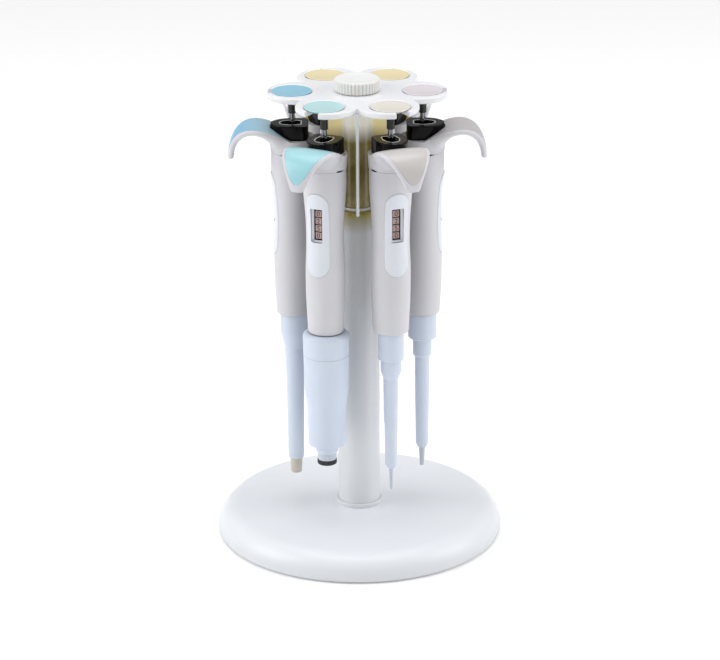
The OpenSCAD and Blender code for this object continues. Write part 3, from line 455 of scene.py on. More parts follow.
def modify(thing, kind, **settings):
    """Runs one modifier on an object and keeps its result as the mesh."""
    modifier = thing.modifiers.new(kind, kind)
    for key, value in settings.items():
        setattr(modifier, key, value)
    graph = bpy.context.evaluated_depsgraph_get()
    result = bpy.data.meshes.new_from_object(thing.evaluated_get(graph))
    thing.modifiers.clear()
    old, thing.data = thing.data, result
    bpy.data.meshes.remove(old)
    return thing


def cut(thing, *cutters):
    """Takes the cutters away from an object."""
    for cutter in cutters:
        modify(thing, "BOOLEAN", operation="DIFFERENCE", solver="EXACT", object=cutter)
        discard(cutter)
    return thing


def discard(thing):
    """Removes a helper object and its mesh."""
    mesh = thing.data
    bpy.data.objects.remove(thing)
    bpy.data.meshes.remove(mesh)


def whole(thing):
    """Keeps only the largest connected part of a mesh."""
    bm = bmesh.new()
    bm.from_mesh(thing.data)
    left, parts = set(bm.verts), []
    while left:
        part, front = set(), [left.pop()]
        while front:
            vert = front.pop()
            part.add(vert)
            near = {edge.other_vert(vert) for edge in vert.link_edges} & left
            left -= near
            front += near
        parts.append(part)
    parts.sort(key=len)
    bmesh.ops.delete(bm, geom=[vert for part in parts[:-1] for vert in part], context="VERTS")
    bm.to_mesh(thing.data)
    bm.free()
    return thing


def copy_to(source, name, place):
    """A piece with a copy of another's mesh, set in place."""
    mesh = source.data.copy()
    mesh.name = name
    mesh.transform(place)
    made = bpy.data.objects.new(name, mesh)
    bpy.context.scene.collection.objects.link(made)
    return made


def soften(thing, sharp=32):
    """Smooth shading that leans on the large faces and keeps the sharp edges."""
    shade(thing.data, sharp)
    return modify(thing, "WEIGHTED_NORMAL", keep_sharp=True, weight=80)


def lathe(name, outline, sides=96, place=MM, closed=True):
    """A piece turned about the z axis from corners that are rounded first."""
    return soften(piece(name, turned(rounded(outline, closed), sides, closed), place))


def join(meshes):
    """One mesh from several."""
    joined = bmesh.new()
    for bm in meshes:
        part = bpy.data.meshes.new("part")
        bm.to_mesh(part)
        bm.free()
        joined.from_mesh(part)
        bpy.data.meshes.remove(part)
    return joined


def station_place(k):
    """Where the pipette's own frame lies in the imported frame, from millimetres to metres."""
    s = in_mm(bpy.context.scene.carousel_stand)
    return (MM @ Matrix.Rotation(math.radians(STATION_ANGLE * (k - 1)), 4, "Z")
            @ Matrix.Translation((s.hang_r, 0, s.plate_top))
            @ Matrix.Rotation(math.radians(TURN_AT[k]), 4, "Z"))


def settle(thing, body, slot, material, *replaced):
    """Gives a piece its material and its body, and hides the CAD nodes that it stands for; the slot is not used."""
    thing.data.materials.clear()
    thing.data.materials.append(material)
    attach(thing, body)
    if replaced:
        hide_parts(*replaced)
    return thing


def hang(*rows):
    """Sets copies of pieces at every station and clears the first ones away.

    A row holds the piece, its name, slot and finish, and the node that it stands for, where it does. {} in a
    slot or a finish takes the station's shade.
    """
    for k in STATIONS:
        place = station_place(k) @ Matrix.Scale(1000, 4)
        for source, name, slot, finish, *nodes in rows:
            slot, finish = slot.format(SHADE_AT[k]), finish.format(SHADE_AT[k])
            made = copy_to(source, f"{name}_{k}", place)
            settle(made, f"handle_{k}", slot, material(finish), *(f"{node}_{k}" for node in nodes))
    for row in rows:
        discard(row[0])


# ---------------------------------------------------------------- materials

class Finish:
    """A procedural material: a surface shader and the textures that vary it."""

    def __init__(self, name, colour, **sockets):
        self.material = bpy.data.materials.new(name)
        self.material.use_nodes = True
        self.tree = self.material.node_tree
        self.surface = self.tree.nodes["Principled BSDF"]
        self.colour = tuple(colour) + (1,)
        self.surface.inputs["Base Color"].default_value = self.colour
        for socket, value in sockets.items():
            self.surface.inputs[socket.replace("_", " ")].default_value = value
        self.place = self.tree.nodes.new("ShaderNodeTexCoord").outputs["Object"]
        self.height = None

    def link(self, source, target):
        """Joins two sockets."""
        self.tree.links.new(source, target)

    def node(self, kind, **inputs):
        """A new node with the values of its inputs."""
        made = self.tree.nodes.new(kind)
        for name, value in inputs.items():
            made.inputs[name.replace("_", " ")].default_value = value
        return made

    def noise(self, size, detail=3.0, stretch=(1, 1, 1)):
        """Noise whose features are about this many millimetres wide."""
        mapping = self.node("ShaderNodeMapping", Scale=stretch)
        self.link(self.place, mapping.inputs["Vector"])
        texture = self.node("ShaderNodeTexNoise", Scale=1000 / size, Detail=detail, Roughness=0.55)
        self.link(mapping.outputs["Vector"], texture.inputs["Vector"])
        return texture.outputs["Fac"]

    def ranged(self, source, low, high, start=0.3, end=0.7):
        """Maps a texture onto a range of values."""
        node = self.node("ShaderNodeMapRange", From_Min=start, From_Max=end, To_Min=low, To_Max=high)
        self.link(source, node.inputs["Value"])
        return node.outputs["Result"]

    def mottled(self, size, other, amount=1.0, stretch=(1, 1, 1)):
        """Drifts the colour towards another over patches of a size."""
        return self.mixed(self.ranged(self.noise(size, stretch=stretch), 0, amount), other)

    def graded(self, start, end, other, upwards=False):
        """Turns the colour into another between two distances from the stand's axis, or two heights, in mm."""
        parts = self.node("ShaderNodeSeparateXYZ")
        self.link(self.place, parts.inputs["Vector"])
        measure = parts.outputs["Z"]
        if not upwards:
            flat = self.node("ShaderNodeCombineXYZ")
            self.link(parts.outputs["X"], flat.inputs["X"])
            self.link(parts.outputs["Y"], flat.inputs["Y"])
            reach = self.node("ShaderNodeVectorMath")
            reach.operation = "LENGTH"
            self.link(flat.outputs["Vector"], reach.inputs[0])
            measure = reach.outputs["Value"]
        return self.mixed(self.ranged(measure, 0, 1, start / 1000, end / 1000), other)

    def mixed(self, factor, other):
        """Lays another colour over what is there, as far as a factor says."""
        mix = self.node("ShaderNodeMix")
        mix.data_type = "RGBA"
        mix.inputs["B"].default_value = tuple(other) + (1,)
        source = self.surface.inputs["Base Color"]
        if source.is_linked:
            self.link(source.links[0].from_socket, mix.inputs["A"])
        else:
            mix.inputs["A"].default_value = self.colour
        self.link(factor, mix.inputs["Factor"])
        self.link(mix.outputs["Result"], source)
        return self

    def crevices(self, distance, other):
        """Paints shade: deepens the colour where faces close in on each other, out to a distance in millimetres."""
        shade = self.node("ShaderNodeAmbientOcclusion", Distance=distance / 1000)
        shade.samples = 4
        return self.mixed(self.ranged(shade.outputs["AO"], 1, 0, 0.25, 0.9), other)

    def glossed(self, size, low, high, stretch=(1, 1, 1)):
        """Varies the roughness over patches of a size."""
        self.link(self.ranged(self.noise(size, 4.0, stretch), low, high), self.surface.inputs["Roughness"])
        return self

    def grained(self, size, depth, detail=2.0, stretch=(1, 1, 1)):
        """Raises a fine grain; size and depth are in millimetres."""
        bump = self.node("ShaderNodeBump", Strength=1.0, Distance=depth / 1000)
        self.link(self.noise(size, detail, stretch), bump.inputs["Height"])
        if self.height:
            self.link(self.height, bump.inputs["Normal"])
        self.height = bump.outputs["Normal"]
        self.link(self.height, self.surface.inputs["Normal"])
        return self


def shaded(colour, factor, warm=0.0):
    """A colour made darker or lighter, and a little warmer."""
    return (colour[0] * factor * (1 + warm), colour[1] * factor, colour[2] * factor * (1 - warm))


RECIPES = {}
_made = {}


def recipe(make):
    """Lists a material's recipe under its own name."""
    RECIPES[make.__name__] = make
    return make


def material(name):
    """The material of that name, made when it is first asked for."""
    if name not in _made:
        _made[name] = RECIPES[name](name, bpy.context.scene.carousel_finishes).material
    return _made[name]


@recipe
def gloss_base(name, c):
    # Painted shade: the base's rim darkens from 14 mm down to 5 mm above the floor.
    return (Finish(name, c.base, Roughness=0.32, IOR=1.45, Coat_Weight=0.1, Coat_Roughness=0.1)
            .mottled(60, shaded(c.base, 0.985)).graded(14, 5, shaded(c.base, 0.86), upwards=True)
            .glossed(14, 0.29, 0.36).grained(1.6, 0.0015))


@recipe
def satin_column(name, c):
    top = size_of("column_tube", 2) * 1000
    # Painted shade and light: the column darkens where the pipettes close round it, takes an olive painted shade under
    # the rotor over its top 14 mm, and is lightened by painted light towards its foot below 80 mm.
    return (Finish(name, c.column, Roughness=0.3, IOR=1.47, Coat_Weight=0.15, Coat_Roughness=0.12)
            .mottled(30, shaded(c.column, 0.97, 0.01)).crevices(45, shaded(c.column, 0.62))
            .graded(top - 14, top - 1, shaded(c.fins_low, 2.6), upwards=True)
            .graded(80, 25, shaded(c.column, 1.03), upwards=True)
            .glossed(9, 0.29, 0.38, (1, 1, 0.15)).grained(0.9, 0.002))


@recipe
def milky_rotor(name, c):
    return (Finish(name, c.rotor, Roughness=0.28, IOR=1.49, Subsurface_Weight=0.35, Subsurface_Scale=0.004,
                   Subsurface_Radius=(1.0, 0.85, 0.5), Coat_Weight=0.2, Coat_Roughness=0.1)
            .mottled(40, shaded(c.rotor, 0.975, 0.01)).glossed(18, 0.29, 0.36).grained(5, 0.003))


@recipe
def milky_fins(name, c):
    # Painted light and shade: cream-olive painted shade on the fins beyond the hub, deepening to olive painted shade
    # from 15 to 27 mm below the hub's top, a white painted highlight on the fins' outer edges, and an emission that
    # paints a glow in these colours.
    low, high = size_of("rotor_fins", 2) * 1000 - 27, size_of("rotor_fins", 2) * 1000 - 15
    made = (Finish(name, c.hub, Roughness=0.2, IOR=1.5, Coat_Weight=0.3, Coat_Roughness=0.06,
                   Emission_Strength=0.16)
            .graded(10.4, 12, c.fins).graded(high, low, c.fins_low, upwards=True)
            .mottled(18, shaded(c.fins, 0.8, 0.04), 0.2).graded(24.4, 25, c.rotor)
            .glossed(8, 0.14, 0.26).grained(3, 0.002))
    made.link(made.surface.inputs["Base Color"].links[0].from_socket, made.surface.inputs["Emission Color"])
    return made


@recipe
def cream_knob(name, c):
    # Painted shade: the knob darkens, a little warmer, in its grooves and tight corners, out to 1.2 mm.
    return (Finish(name, c.knob, Roughness=0.34, IOR=1.47, Subsurface_Weight=0.15, Subsurface_Scale=0.002)
            .mottled(7, shaded(c.knob, 0.95, 0.02)).crevices(1.2, shaded(c.knob, 0.8, 0.1))
            .glossed(3, 0.28, 0.42).grained(0.4, 0.004))


@recipe
def chrome(name, c):
    return (Finish(name, shaded(c.steel, 0.5), Metallic=1.0, Roughness=0.12)
            .mottled(5, shaded(c.steel, 0.35)).glossed(2, 0.08, 0.18, (1, 1, 6)).grained(0.5, 0.0015, 2, (1, 1, 8)))


@recipe
def dull_steel(name, c):
    return (Finish(name, shaded(c.steel, 0.75), Metallic=1.0, Roughness=0.4)
            .mottled(6, shaded(c.steel, 0.6)).glossed(3, 0.3, 0.5, (1, 1, 5)).grained(0.6, 0.004, 3, (1, 1, 6)))


@recipe
def dark_neck(name, c):
    return (Finish(name, shaded(c.steel, 0.05), Roughness=0.18, IOR=1.5, Specular_IOR_Level=0.35)
            .mottled(3, shaded(c.steel, 0.02)).glossed(1.5, 0.12, 0.26, (1, 1, 6)))


@recipe
def black_cap(name, c):
    return (Finish(name, c.cap, Roughness=0.14, IOR=1.5, Specular_IOR_Level=0.13)
            .mottled(6, shaded(c.cap, 1.6)).glossed(3, 0.08, 0.18).grained(1.5, 0.0015))


@recipe
def pale_ring(name, c):
    return (Finish(name, c.ring, Metallic=0.6, Roughness=0.25)
            .mottled(2, shaded(c.ring, 0.9)).glossed(1.5, 0.18, 0.26).grained(0.3, 0.002))


@recipe
def warm_grip(name, c):
    # Painted shade: the grip darkens on the sides that face its neighbours, out to 30 mm, and in its tight creases, out
    # to 1 mm.
    return (Finish(name, c.grip, Roughness=0.42, IOR=1.46, Subsurface_Weight=0.06, Subsurface_Scale=0.0015)
            .mottled(26, shaded(c.grip, 0.965, 0.006)).crevices(30, shaded(c.grip, 0.6, 0.01))
            .crevices(1.0, shaded(c.grip, 0.6, 0.03))
            .glossed(6, 0.36, 0.5).grained(0.28, 0.006, 3).grained(3.5, 0.004))


@recipe
def white_label(name, c):
    return (Finish(name, c.label, Roughness=0.22, IOR=1.5, Coat_Weight=0.3, Coat_Roughness=0.08)
            .mottled(9, shaded(c.label, 0.975)).glossed(4, 0.17, 0.26).grained(0.7, 0.0015))


@recipe
def cool_sleeve(name, c):
    # Painted shade: the sleeve darkens on the sides that face its neighbours, out to 30 mm, and in its tight creases,
    # out to 1.2 mm.
    return (Finish(name, c.sleeve, Roughness=0.36, IOR=1.47, Subsurface_Weight=0.15, Subsurface_Scale=0.0025,
                   Subsurface_Radius=(0.8, 0.9, 1.0))
            .mottled(20, shaded(c.sleeve, 0.965)).crevices(30, shaded(c.sleeve, 0.7))
            .crevices(1.2, shaded(c.sleeve, 0.62))
            .glossed(5, 0.3, 0.44, (1, 1, 0.2)).grained(0.5, 0.003))


@recipe
def white_nozzle(name, c):
    return (Finish(name, c.nozzle, Roughness=0.32, IOR=1.47)
            .mottled(6, shaded(c.nozzle, 0.94, 0.02)).glossed(2, 0.29, 0.4).grained(0.4, 0.003))


@recipe
def cream_nozzle(name, c):
    return (Finish(name, c.nozzle_cream, Roughness=0.36, IOR=1.47)
            .mottled(5, shaded(c.nozzle_cream, 0.9, 0.03)).glossed(2, 0.3, 0.44).grained(0.4, 0.003))


@recipe
def pink_drum(name, c):
    return (Finish(name, c.drum, Roughness=0.4, IOR=1.46)
            .mottled(2.5, shaded(c.drum, 0.88)).glossed(1.2, 0.34, 0.5).grained(0.25, 0.003))


@recipe
def dark_well(name, c):
    return (Finish(name, shaded(c.cap, 1.2), Roughness=0.5, IOR=1.45)
            .mottled(3, shaded(c.cap, 2.4)).glossed(1.5, 0.4, 0.6).grained(0.3, 0.004))


@recipe
def black_rubber(name, c):
    return (Finish(name, c.rubber, Roughness=0.62, IOR=1.45)
            .mottled(3, shaded(c.rubber, 1.5)).glossed(1.5, 0.55, 0.72).grained(0.25, 0.012, 4))


@recipe
def ivory_bush(name, c):
    return (Finish(name, shaded(c.knob, 0.97), Roughness=0.38, IOR=1.46, Subsurface_Weight=0.15,
                   Subsurface_Scale=0.002)
            .mottled(5, shaded(c.knob, 0.88, 0.02)).glossed(2, 0.3, 0.46).grained(0.35, 0.004))


def soft_pad(shade):
    """The recipe of a hook's pad: paler near the cap as a painted reflection, deepening towards the tip, with painted
    shade in its tight creases.
    """
    def pad(name, c):
        colour = getattr(c, shade)
        return (Finish(name, colour, Roughness=0.36, IOR=1.5, Coat_Weight=0.25, Coat_Roughness=0.18)
                .mottled(7, shaded(colour, 0.95)).graded(52, 80, getattr(c, shade + "_tip"))
                .crevices(1.0, shaded(colour, 0.5))
                .glossed(3, 0.3, 0.44).grained(0.22, 0.005, 3))
    return pad


def disc_of(shade):
    """The recipe of a push-button's disc."""
    def disc(name, c):
        colour = getattr(c, "button_" + shade)
        # Painted shade: the disc darkens in its tight corners, out to 0.9 mm.
        return (Finish(name, colour, Roughness=0.24, IOR=1.5, Coat_Weight=0.3, Coat_Roughness=0.08)
                .mottled(14, shaded(colour, 0.95)).crevices(0.9, shaded(colour, 0.6))
                .glossed(7, 0.17, 0.26).grained(2.5, 0.002))
    return disc


@recipe
def pale_floor(name, c):
    return (Finish(name, c.floor, Roughness=0.9, IOR=1.3, Emission_Color=(1, 1, 1, 1), Emission_Strength=0.1)
            .mottled(900, shaded(c.floor, 0.995)).glossed(300, 0.85, 0.95))


for _shade in sorted(set(SHADE_AT.values())):
    RECIPES["pad_" + _shade] = soft_pad(_shade)
    RECIPES["disc_" + _shade] = disc_of(_shade)


# ---------------------------------------------------------------- stand

class CAROUSEL_OT_base(Operator):
    """Mould the gloss white base"""
    bl_idname = "carousel.base"
    bl_label = "Base"

    def execute(self, context):
        s = in_mm(context.scene.carousel_stand)
        cover_z = size_of("base_cover", 2, 0) * 1000
        floor_z = size_of("base_cover", 2) * 1000
        centre = (s.base_r - s.base_edge_r, s.base_edge_z)
        inner_r = s.base_edge_r - s.base_wall
        low = math.degrees(math.asin((cover_z - s.base_edge_z) / s.base_edge_r))
        inner_low = math.degrees(math.asin((cover_z - s.base_edge_z) / inner_r))
        outer = arc(centre, s.base_edge_r, low, 90, 40)
        outer[0] = outer[0] + (s.base_lip,)
        inner = arc(centre, inner_r, 90, inner_low, 24)
        inner[-1] = inner[-1] + (s.base_lip,)
        spigot_r, bore_r = s.column_r - s.column_wall - CLOSE_FIT, s.spindle_r + CLOSE_FIT
        boss = [(s.collar_r + 1, s.base_top), (spigot_r, s.base_top, 0.2), (spigot_r, s.base_top + SPIGOT_H, 0.4),
                (bore_r, s.base_top + SPIGOT_H), (bore_r, floor_z + BOLT_HEAD_H),
                (BOLT_HEAD_R, floor_z + BOLT_HEAD_H), (BOLT_HEAD_R, floor_z), (s.boss_r, floor_z, 0.3),
                (s.boss_r, centre[1] + inner_r, 1)]
        base = lathe("base_dome", outer + boss + inner, 192)
        settle(base, "stand", "base", material("gloss_base"), "base_shell")
        return {"FINISHED"}


class CAROUSEL_OT_column(Operator):
    """Set the column and the ring round its foot on the base"""
    bl_idname = "carousel.column"
    bl_label = "Column"

    def execute(self, context):
        s = in_mm(context.scene.carousel_stand)
        inner_r, bore_r = s.column_r - s.column_wall, s.spindle_r + CLOSE_FIT
        outline = [(inner_r, s.base_top, 0.3), (s.column_r, s.base_top, 0.3),
                   (s.column_r, s.column_top, s.column_rounding), (bore_r, s.column_top, 0.3),
                   (bore_r, s.column_top - COLUMN_PLUG), (inner_r, s.column_top - COLUMN_PLUG, 0.5)]
        column = lathe("column_post", outline, 128)
        settle(column, "stand", "column", material("satin_column"), "column_tube")
        ring_r = s.column_r + CLOSE_FIT
        foot = [(ring_r, s.base_top, 0.1), (s.collar_r, s.base_top, 0.15), (s.collar_r, s.collar_top, 0.7),
                (ring_r, s.collar_top, 0.25)]
        ring = lathe("foot_ring", foot, 128)
        settle(ring, "stand", "column", material("satin_column"), "column_collar")
        return {"FINISHED"}


class CAROUSEL_OT_rotor(Operator):
    """Mould the rotor: the hub with its fins, and the lobed plate with its seats"""
    bl_idname = "carousel.rotor"
    bl_label = "Rotor"

    def execute(self, context):
        s = in_mm(context.scene.carousel_stand)
        self.hub(s)
        self.plate(s)
        return {"FINISHED"}

    def hub(self, s):
        """The hub and its fins, as one plan drawn upwards."""
        half = s.fin_t / 2
        side = math.degrees(math.asin(half / s.hub_r))
        past_root = 14
        plan = []
        root = s.hub_r * math.cos(math.radians(side))
        fin = [(root, -half, s.fin_root), (s.fin_r, -half, half * 0.9),
               (s.fin_r, half, half * 0.9), (root, half, s.fin_root)]
        fin += arc((0, 0), s.hub_r, past_root, STATION_ANGLE - past_root, 8)
        for k in STATIONS:
            plan += spun(fin, STATION_ANGLE * (k - 0.5))
        plan = rounded(plan, closed=True)
        bore = [tuple(Vector(p).normalized() * s.bush_r) for p in plan]
        hub = piece("rotor_hub", slab(plan, s.rotor_low, s.plate_low, 0.35, bore))
        settle(soften(hub), "rotor", "rotor", material("milky_fins"), "rotor_fins")

    def plate(self, s):
        """The lobed plate: plan, rounded edges, slots, seats and the hole for the spindle."""
        centre_r = s.hang_r - s.lobe_inset
        half = math.radians(STATION_ANGLE / 2)
        notch_r = centre_r * math.cos(half) + math.sqrt(s.lobe_r ** 2 - (centre_r * math.sin(half)) ** 2)
        notch = Vector((notch_r * math.cos(half) - centre_r, notch_r * math.sin(half)))
        sweep = math.degrees(math.atan2(notch.y, notch.x)) - 7
        lobe = arc((centre_r, 0), s.lobe_r, -sweep, sweep, 44)
        lobe.append((notch_r * math.cos(half), notch_r * math.sin(half), s.notch_r))
        plan = []
        for k in STATIONS:
            plan += spun(lobe, STATION_ANGLE * (k - 1))
        plan = rounded(plan, closed=True)
        plate = piece("rotor_disc", slab(plan, s.plate_low, s.plate_top, s.plate_rounding))
        under, over, outside, hole_r = s.plate_low - 1, s.plate_top + 1, 70, 4.4
        slot = arc((s.hang_r, 0), s.slot_w / 2, 90, 270, 24) + [(outside, -s.slot_w / 2), (outside, s.slot_w / 2)]
        seat_z = s.plate_top - s.seat_depth
        flare = 1 / math.tan(math.radians(30))
        seat = [(0, seat_z), (s.seat_low_r, seat_z), (s.seat_top_r, s.plate_top),
                (s.seat_top_r + flare, over), (0, over)]
        slots, seats = [turned([(0, under), (hole_r, under), (hole_r, over), (0, over)], 48)], []
        for k in STATIONS:
            turn = Matrix.Rotation(math.radians(STATION_ANGLE * (k - 1)), 4, "Z")
            bm = slab(slot, under, over)
            bm.transform(turn)
            slots.append(bm)
            bm = turned(seat, 96)
            bm.transform(turn @ Matrix.Translation((s.hang_r, 0, 0)))
            seats.append(bm)
        cut(plate, piece("slots", join(slots)), piece("seats", join(seats)))
        modify(plate, "BEVEL", width=s.slot_rounding / 1000, segments=3, limit_method="ANGLE",
               angle_limit=math.radians(50))
        settle(soften(plate, 28), "rotor", "rotor", material("milky_rotor"), "rotor_plate")


class CAROUSEL_OT_knob(Operator):
    """Turn and rib the hand nut on top"""
    bl_idname = "carousel.knob"
    bl_label = "Knob"

    def execute(self, context):
        s = in_mm(context.scene.carousel_stand)
        sides = s.knob_ribs * 8
        corner = (s.knob_r - s.knob_edge, s.knob_top - s.knob_edge)
        bevel, dish, bore_r, roof = 0.5, 0.3, 4.05, 2
        side_low, floor = s.knob_low + bevel, s.knob_top - dish
        outer = [(s.knob_r - bevel, s.knob_low), (s.knob_r, side_low)]
        outer += [(s.knob_r, side_low + (corner[1] - side_low) * i / 4) for i in range(1, 4)]
        outer += arc(corner, s.knob_edge, 0, 90, 10)
        crown = [(corner[0] - 1, s.knob_top), (10.4, s.knob_top), (9.9, s.knob_top - dish / 2),
                 (9.2, floor), (4, floor), (0, floor)]
        bore = [(0, s.knob_top - roof), (bore_r, s.knob_top - roof), (bore_r, s.knob_low),
                (s.knob_r - 3, s.knob_low)]
        rings = []
        for radius, z in bore + outer + crown:
            if radius < 0.01:
                rings.append([(0, 0, z)])
                continue
            ring = []
            for i in range(sides):
                around = FULL_TURN * i / sides
                groove = (1 - abs(math.cos(around * s.knob_ribs / 2)) ** 0.7) * s.knob_groove
                near = max(0.0, min(1.0, (radius - (s.knob_r - s.knob_edge * 0.7)) / (s.knob_edge * 0.6)))
                at = radius - groove * near
                ring.append((at * math.cos(around), at * math.sin(around), z))
            rings.append(ring)
        knob = piece("hand_nut", rings_mesh(rings), sharp=50)
        settle(knob, "knob", "knob", material("cream_knob"), "retaining_knob")
        return {"FINISHED"}


# ---------------------------------------------------------------- pipettes

class CAROUSEL_OT_buttons(Operator):
    """Turn the coloured push-buttons and their necks"""
    bl_idname = "carousel.buttons"
    bl_label = "Push-buttons"

    def execute(self, context):
        h = in_mm(context.scene.carousel_handle)
        disc = [(0, -h.button_dish)]
        disc += [(h.button_r * 0.9 * t, -h.button_dish * (1 - t * t)) for t in (0.2, 0.4, 0.6, 0.8, 0.92, 1.0)]
        disc += [(h.button_r, 0, 0.25), (h.button_r, -h.button_rim, 0.2), (h.button_low_r, -h.button_t, 0.3),
                 (0, -h.button_t)]
        bore_r = h.rod_r + ROD_FIT
        neck = [(bore_r, -h.button_t), (h.neck_r + 1, -h.button_t), (h.neck_r, -h.button_t - 1, 0.6),
                (h.neck_r, -h.neck_l, 0.35), (bore_r, -h.neck_l)]
        for k in STATIONS:
            button = lathe(f"button_disc_{k}", disc, 96, station_place(k), closed=False)
            settle(button, f"button_{k}", "pad_" + SHADE_AT[k], material("disc_" + SHADE_AT[k]), f"push_button_{k}")
            stem = lathe(f"button_neck_{k}", neck, 48, station_place(k))
            settle(stem, f"button_{k}", "steel", material("dark_neck"))
        return {"FINISHED"}


def cap_plan(h, gap=0.0):
    """Plan of the ejector cap, counter-clockwise, grown by a gap."""
    corner = arc((h.cap_corner_r - h.cap_back, h.cap_half_w - h.cap_corner_r), h.cap_corner_r + gap, 90, 180, 12)
    bow = [bezier([(h.rim_rise_x, h.cap_half_w + gap), (h.cap_reach * 0.6, h.cap_half_w + gap),
                   (h.cap_reach * 0.9, h.cap_nose_half_w * 2 + gap),
                   (h.cap_reach + gap, h.cap_nose_half_w + gap)], 1 - i / 20) for i in range(21)]
    nose = tuple(bow[0]) + (1.2,)
    upper = [nose] + [tuple(p) for p in bow[1:]] + corner
    lower = [(p[0], -p[1]) + tuple(p[2:]) for p in reversed(upper)]
    return rounded(upper + lower, closed=True)


class CAROUSEL_OT_caps(Operator):
    """Mould the black ejector caps with the pale ring in their top"""
    bl_idname = "carousel.caps"
    bl_label = "Ejector caps"

    def execute(self, context):
        h = in_mm(context.scene.carousel_handle)
        plan = cap_plan(h)
        top, low = -h.cap_z + h.cap_rise, -h.cap_z - h.cap_h
        oval, groove, floor, band_out, band_in = (
            [self.on_oval(p, h.ring_half_l - d, h.ring_half_w - d) for p in plan]
            for d in (0, h.ring_w, h.ring_w + 0.5, 0.06, h.ring_w - 0.06))
        hole = [self.on_oval(p, h.cap_hole_r, h.cap_hole_r) for p in plan]
        edge = h.cap_edge
        levels = [(inset(plan, 0.3), low), (plan, low + 0.3)]
        levels += [(inset(plan, edge * (1 - math.cos(a))), top - edge + edge * math.sin(a))
                   for a in (math.pi / 2 * i / 5 for i in range(6))]
        levels += [(oval, top), (oval, top - 0.25), (groove, top - 0.25), (groove, top - h.well_depth + 0.4),
                   (floor, top - h.well_depth), (hole, top - h.well_depth), (hole, low)]
        rings = [[(x, y, z + (nose_lift(h, x) if z < low + 0.4 else 0)) for x, y in loop] for loop, z in levels]
        hoop = [[(x, y, z) for x, y in loop] for loop, z in
                ((band_out, top - 0.24), (band_out, top - 0.02), (band_in, top - 0.02), (band_in, top - 0.24))]
        for k in STATIONS:
            cap = piece(f"cap_{k}", rings_mesh(rings, closed=True), station_place(k))
            settle(soften(cap), f"ejector_{k}", "cap", material("black_cap"), f"ejector_cap_{k}")
            ring = piece(f"cap_ring_{k}", rings_mesh(hoop, closed=True), station_place(k))
            settle(ring, f"ejector_{k}", "steel", material("pale_ring"))
        return {"FINISHED"}

    @staticmethod
    def on_oval(point, half_l, half_w):
        """The point of an oval that lies in the direction of another point."""
        x, y = point
        scale = 1 / math.hypot(x / half_l, y / half_w)
        return (x * scale, y * scale)


def hook_curves(h):
    """Side view of the hook, upper and lower, and its half width, from root to tip."""
    top_z, reach = -h.cap_z, h.hook_reach
    tip_z = top_z - h.hook_drop
    upper = [(HOOK.root_x, top_z - HOOK.root_drop), (reach * HOOK.arch_share, top_z + HOOK.arch),
             (reach - HOOK.brow_inset, top_z + HOOK.brow), (reach, tip_z)]
    lower = [(h.head_r - HOOK.throat_in, top_z - HOOK.throat_drop), (h.head_r + HOOK.under_in, top_z + HOOK.under_rise),
             (reach - HOOK.under_out, top_z - HOOK.under_rise), (reach - HOOK.tip_t, tip_z)]
    return upper, lower, HOOK.half_widths


def hook_section(h, t):
    """Top, side line and underside of the hook's section in side view, and its half width."""
    upper, lower, widths = hook_curves(h)
    top, low = bezier(upper, t), bezier(lower, t)
    return top, low.lerp(top, HOOK_SIDE_HIGH - HOOK_SIDE_FALL * t), low, bezier_number(widths, t)


def hook_point(h, t, across, sunk=0.0):
    """A point on the hook's upper face: t runs from root to tip, across is in millimetres."""
    top, middle, low, half_w = hook_section(h, t)
    share = min(1.0, abs(across) / half_w)
    rise = (1 - share ** HOOK_SQUARENESS) ** (1 / HOOK_SQUARENESS)
    at = middle + (top - middle) * rise - (top - low).normalized() * sunk
    return (at.x, across, at.y)


def hook_loft(h, steps=40, sides=64):
    """The hook as a closed tube of rounded square sections."""
    rings = []
    for i in range(steps + 1):
        top, middle, low, half_w = hook_section(h, i / steps)
        ring = []
        for j in range(sides):
            a = FULL_TURN * j / sides
            rise, out = (math.copysign(abs(part) ** (2 / HOOK_SQUARENESS), part) for part in (math.sin(a), math.cos(a)))
            at = middle + ((top - middle) if rise > 0 else (middle - low)) * rise
            ring.append((at.x, half_w * out, at.y))
        rings.append(ring)
    return rings_mesh(rings, capped=True)


def rise_cutter(h):
    """Everything above the head's rim: level at the back, then rising to the cap's nose."""
    top_z = -h.cap_z
    end_x = h.cap_reach + h.cap_gap
    inside, over, half_w = -30, top_z + 14, 26
    side = [(inside, top_z - h.rim_drop), (h.rim_rise_x, top_z - h.rim_drop), (end_x, top_z - h.cap_gap),
            (end_x, over), (inside, over)]
    bm = slab(side, -half_w, half_w)
    bm.transform(Matrix.Rotation(math.radians(90), 4, "X"))
    return piece("rise", bm)


def nose_lift(h, x):
    """How far the cap's underside and its pocket's floor rise towards the nose."""
    return max(0.0, x - h.rim_rise_x) * NOSE_SLOPE


def pocket_cutter(h, gap, low):
    """The pocket for the cap, from a height upwards."""
    bm = slab(cap_plan(h, gap), low, -h.cap_z + 20)
    bmesh.ops.bisect_plane(bm, geom=bm.verts[:] + bm.edges[:] + bm.faces[:], plane_co=(h.rim_rise_x, 0, 0),
                           plane_no=(1, 0, 0))
    for vert in bm.verts:
        if vert.co.z < low + 0.01:
            vert.co.z += nose_lift(h, vert.co.x)
    return piece("pocket", bm)


def seam_cutter(h):
    """Everything below the head, as far out as the seam reaches, short of the hook's tip."""
    seam = -h.cap_z - h.head_h + h.seam_lift
    radius, depth = 24, 12
    return piece("below", turned([(0, seam - depth), (radius, seam - depth), (radius, seam), (0, seam)], 48))


def lens(half_l, half_h, points=40):
    """Outline of a release notch: wide in the middle, with slim ends."""
    turns = [FULL_TURN * i / points for i in range(points)]
    return [(half_l * math.cos(a), half_h * math.sin(a) * (0.35 + 0.65 * abs(math.sin(a)))) for a in turns]


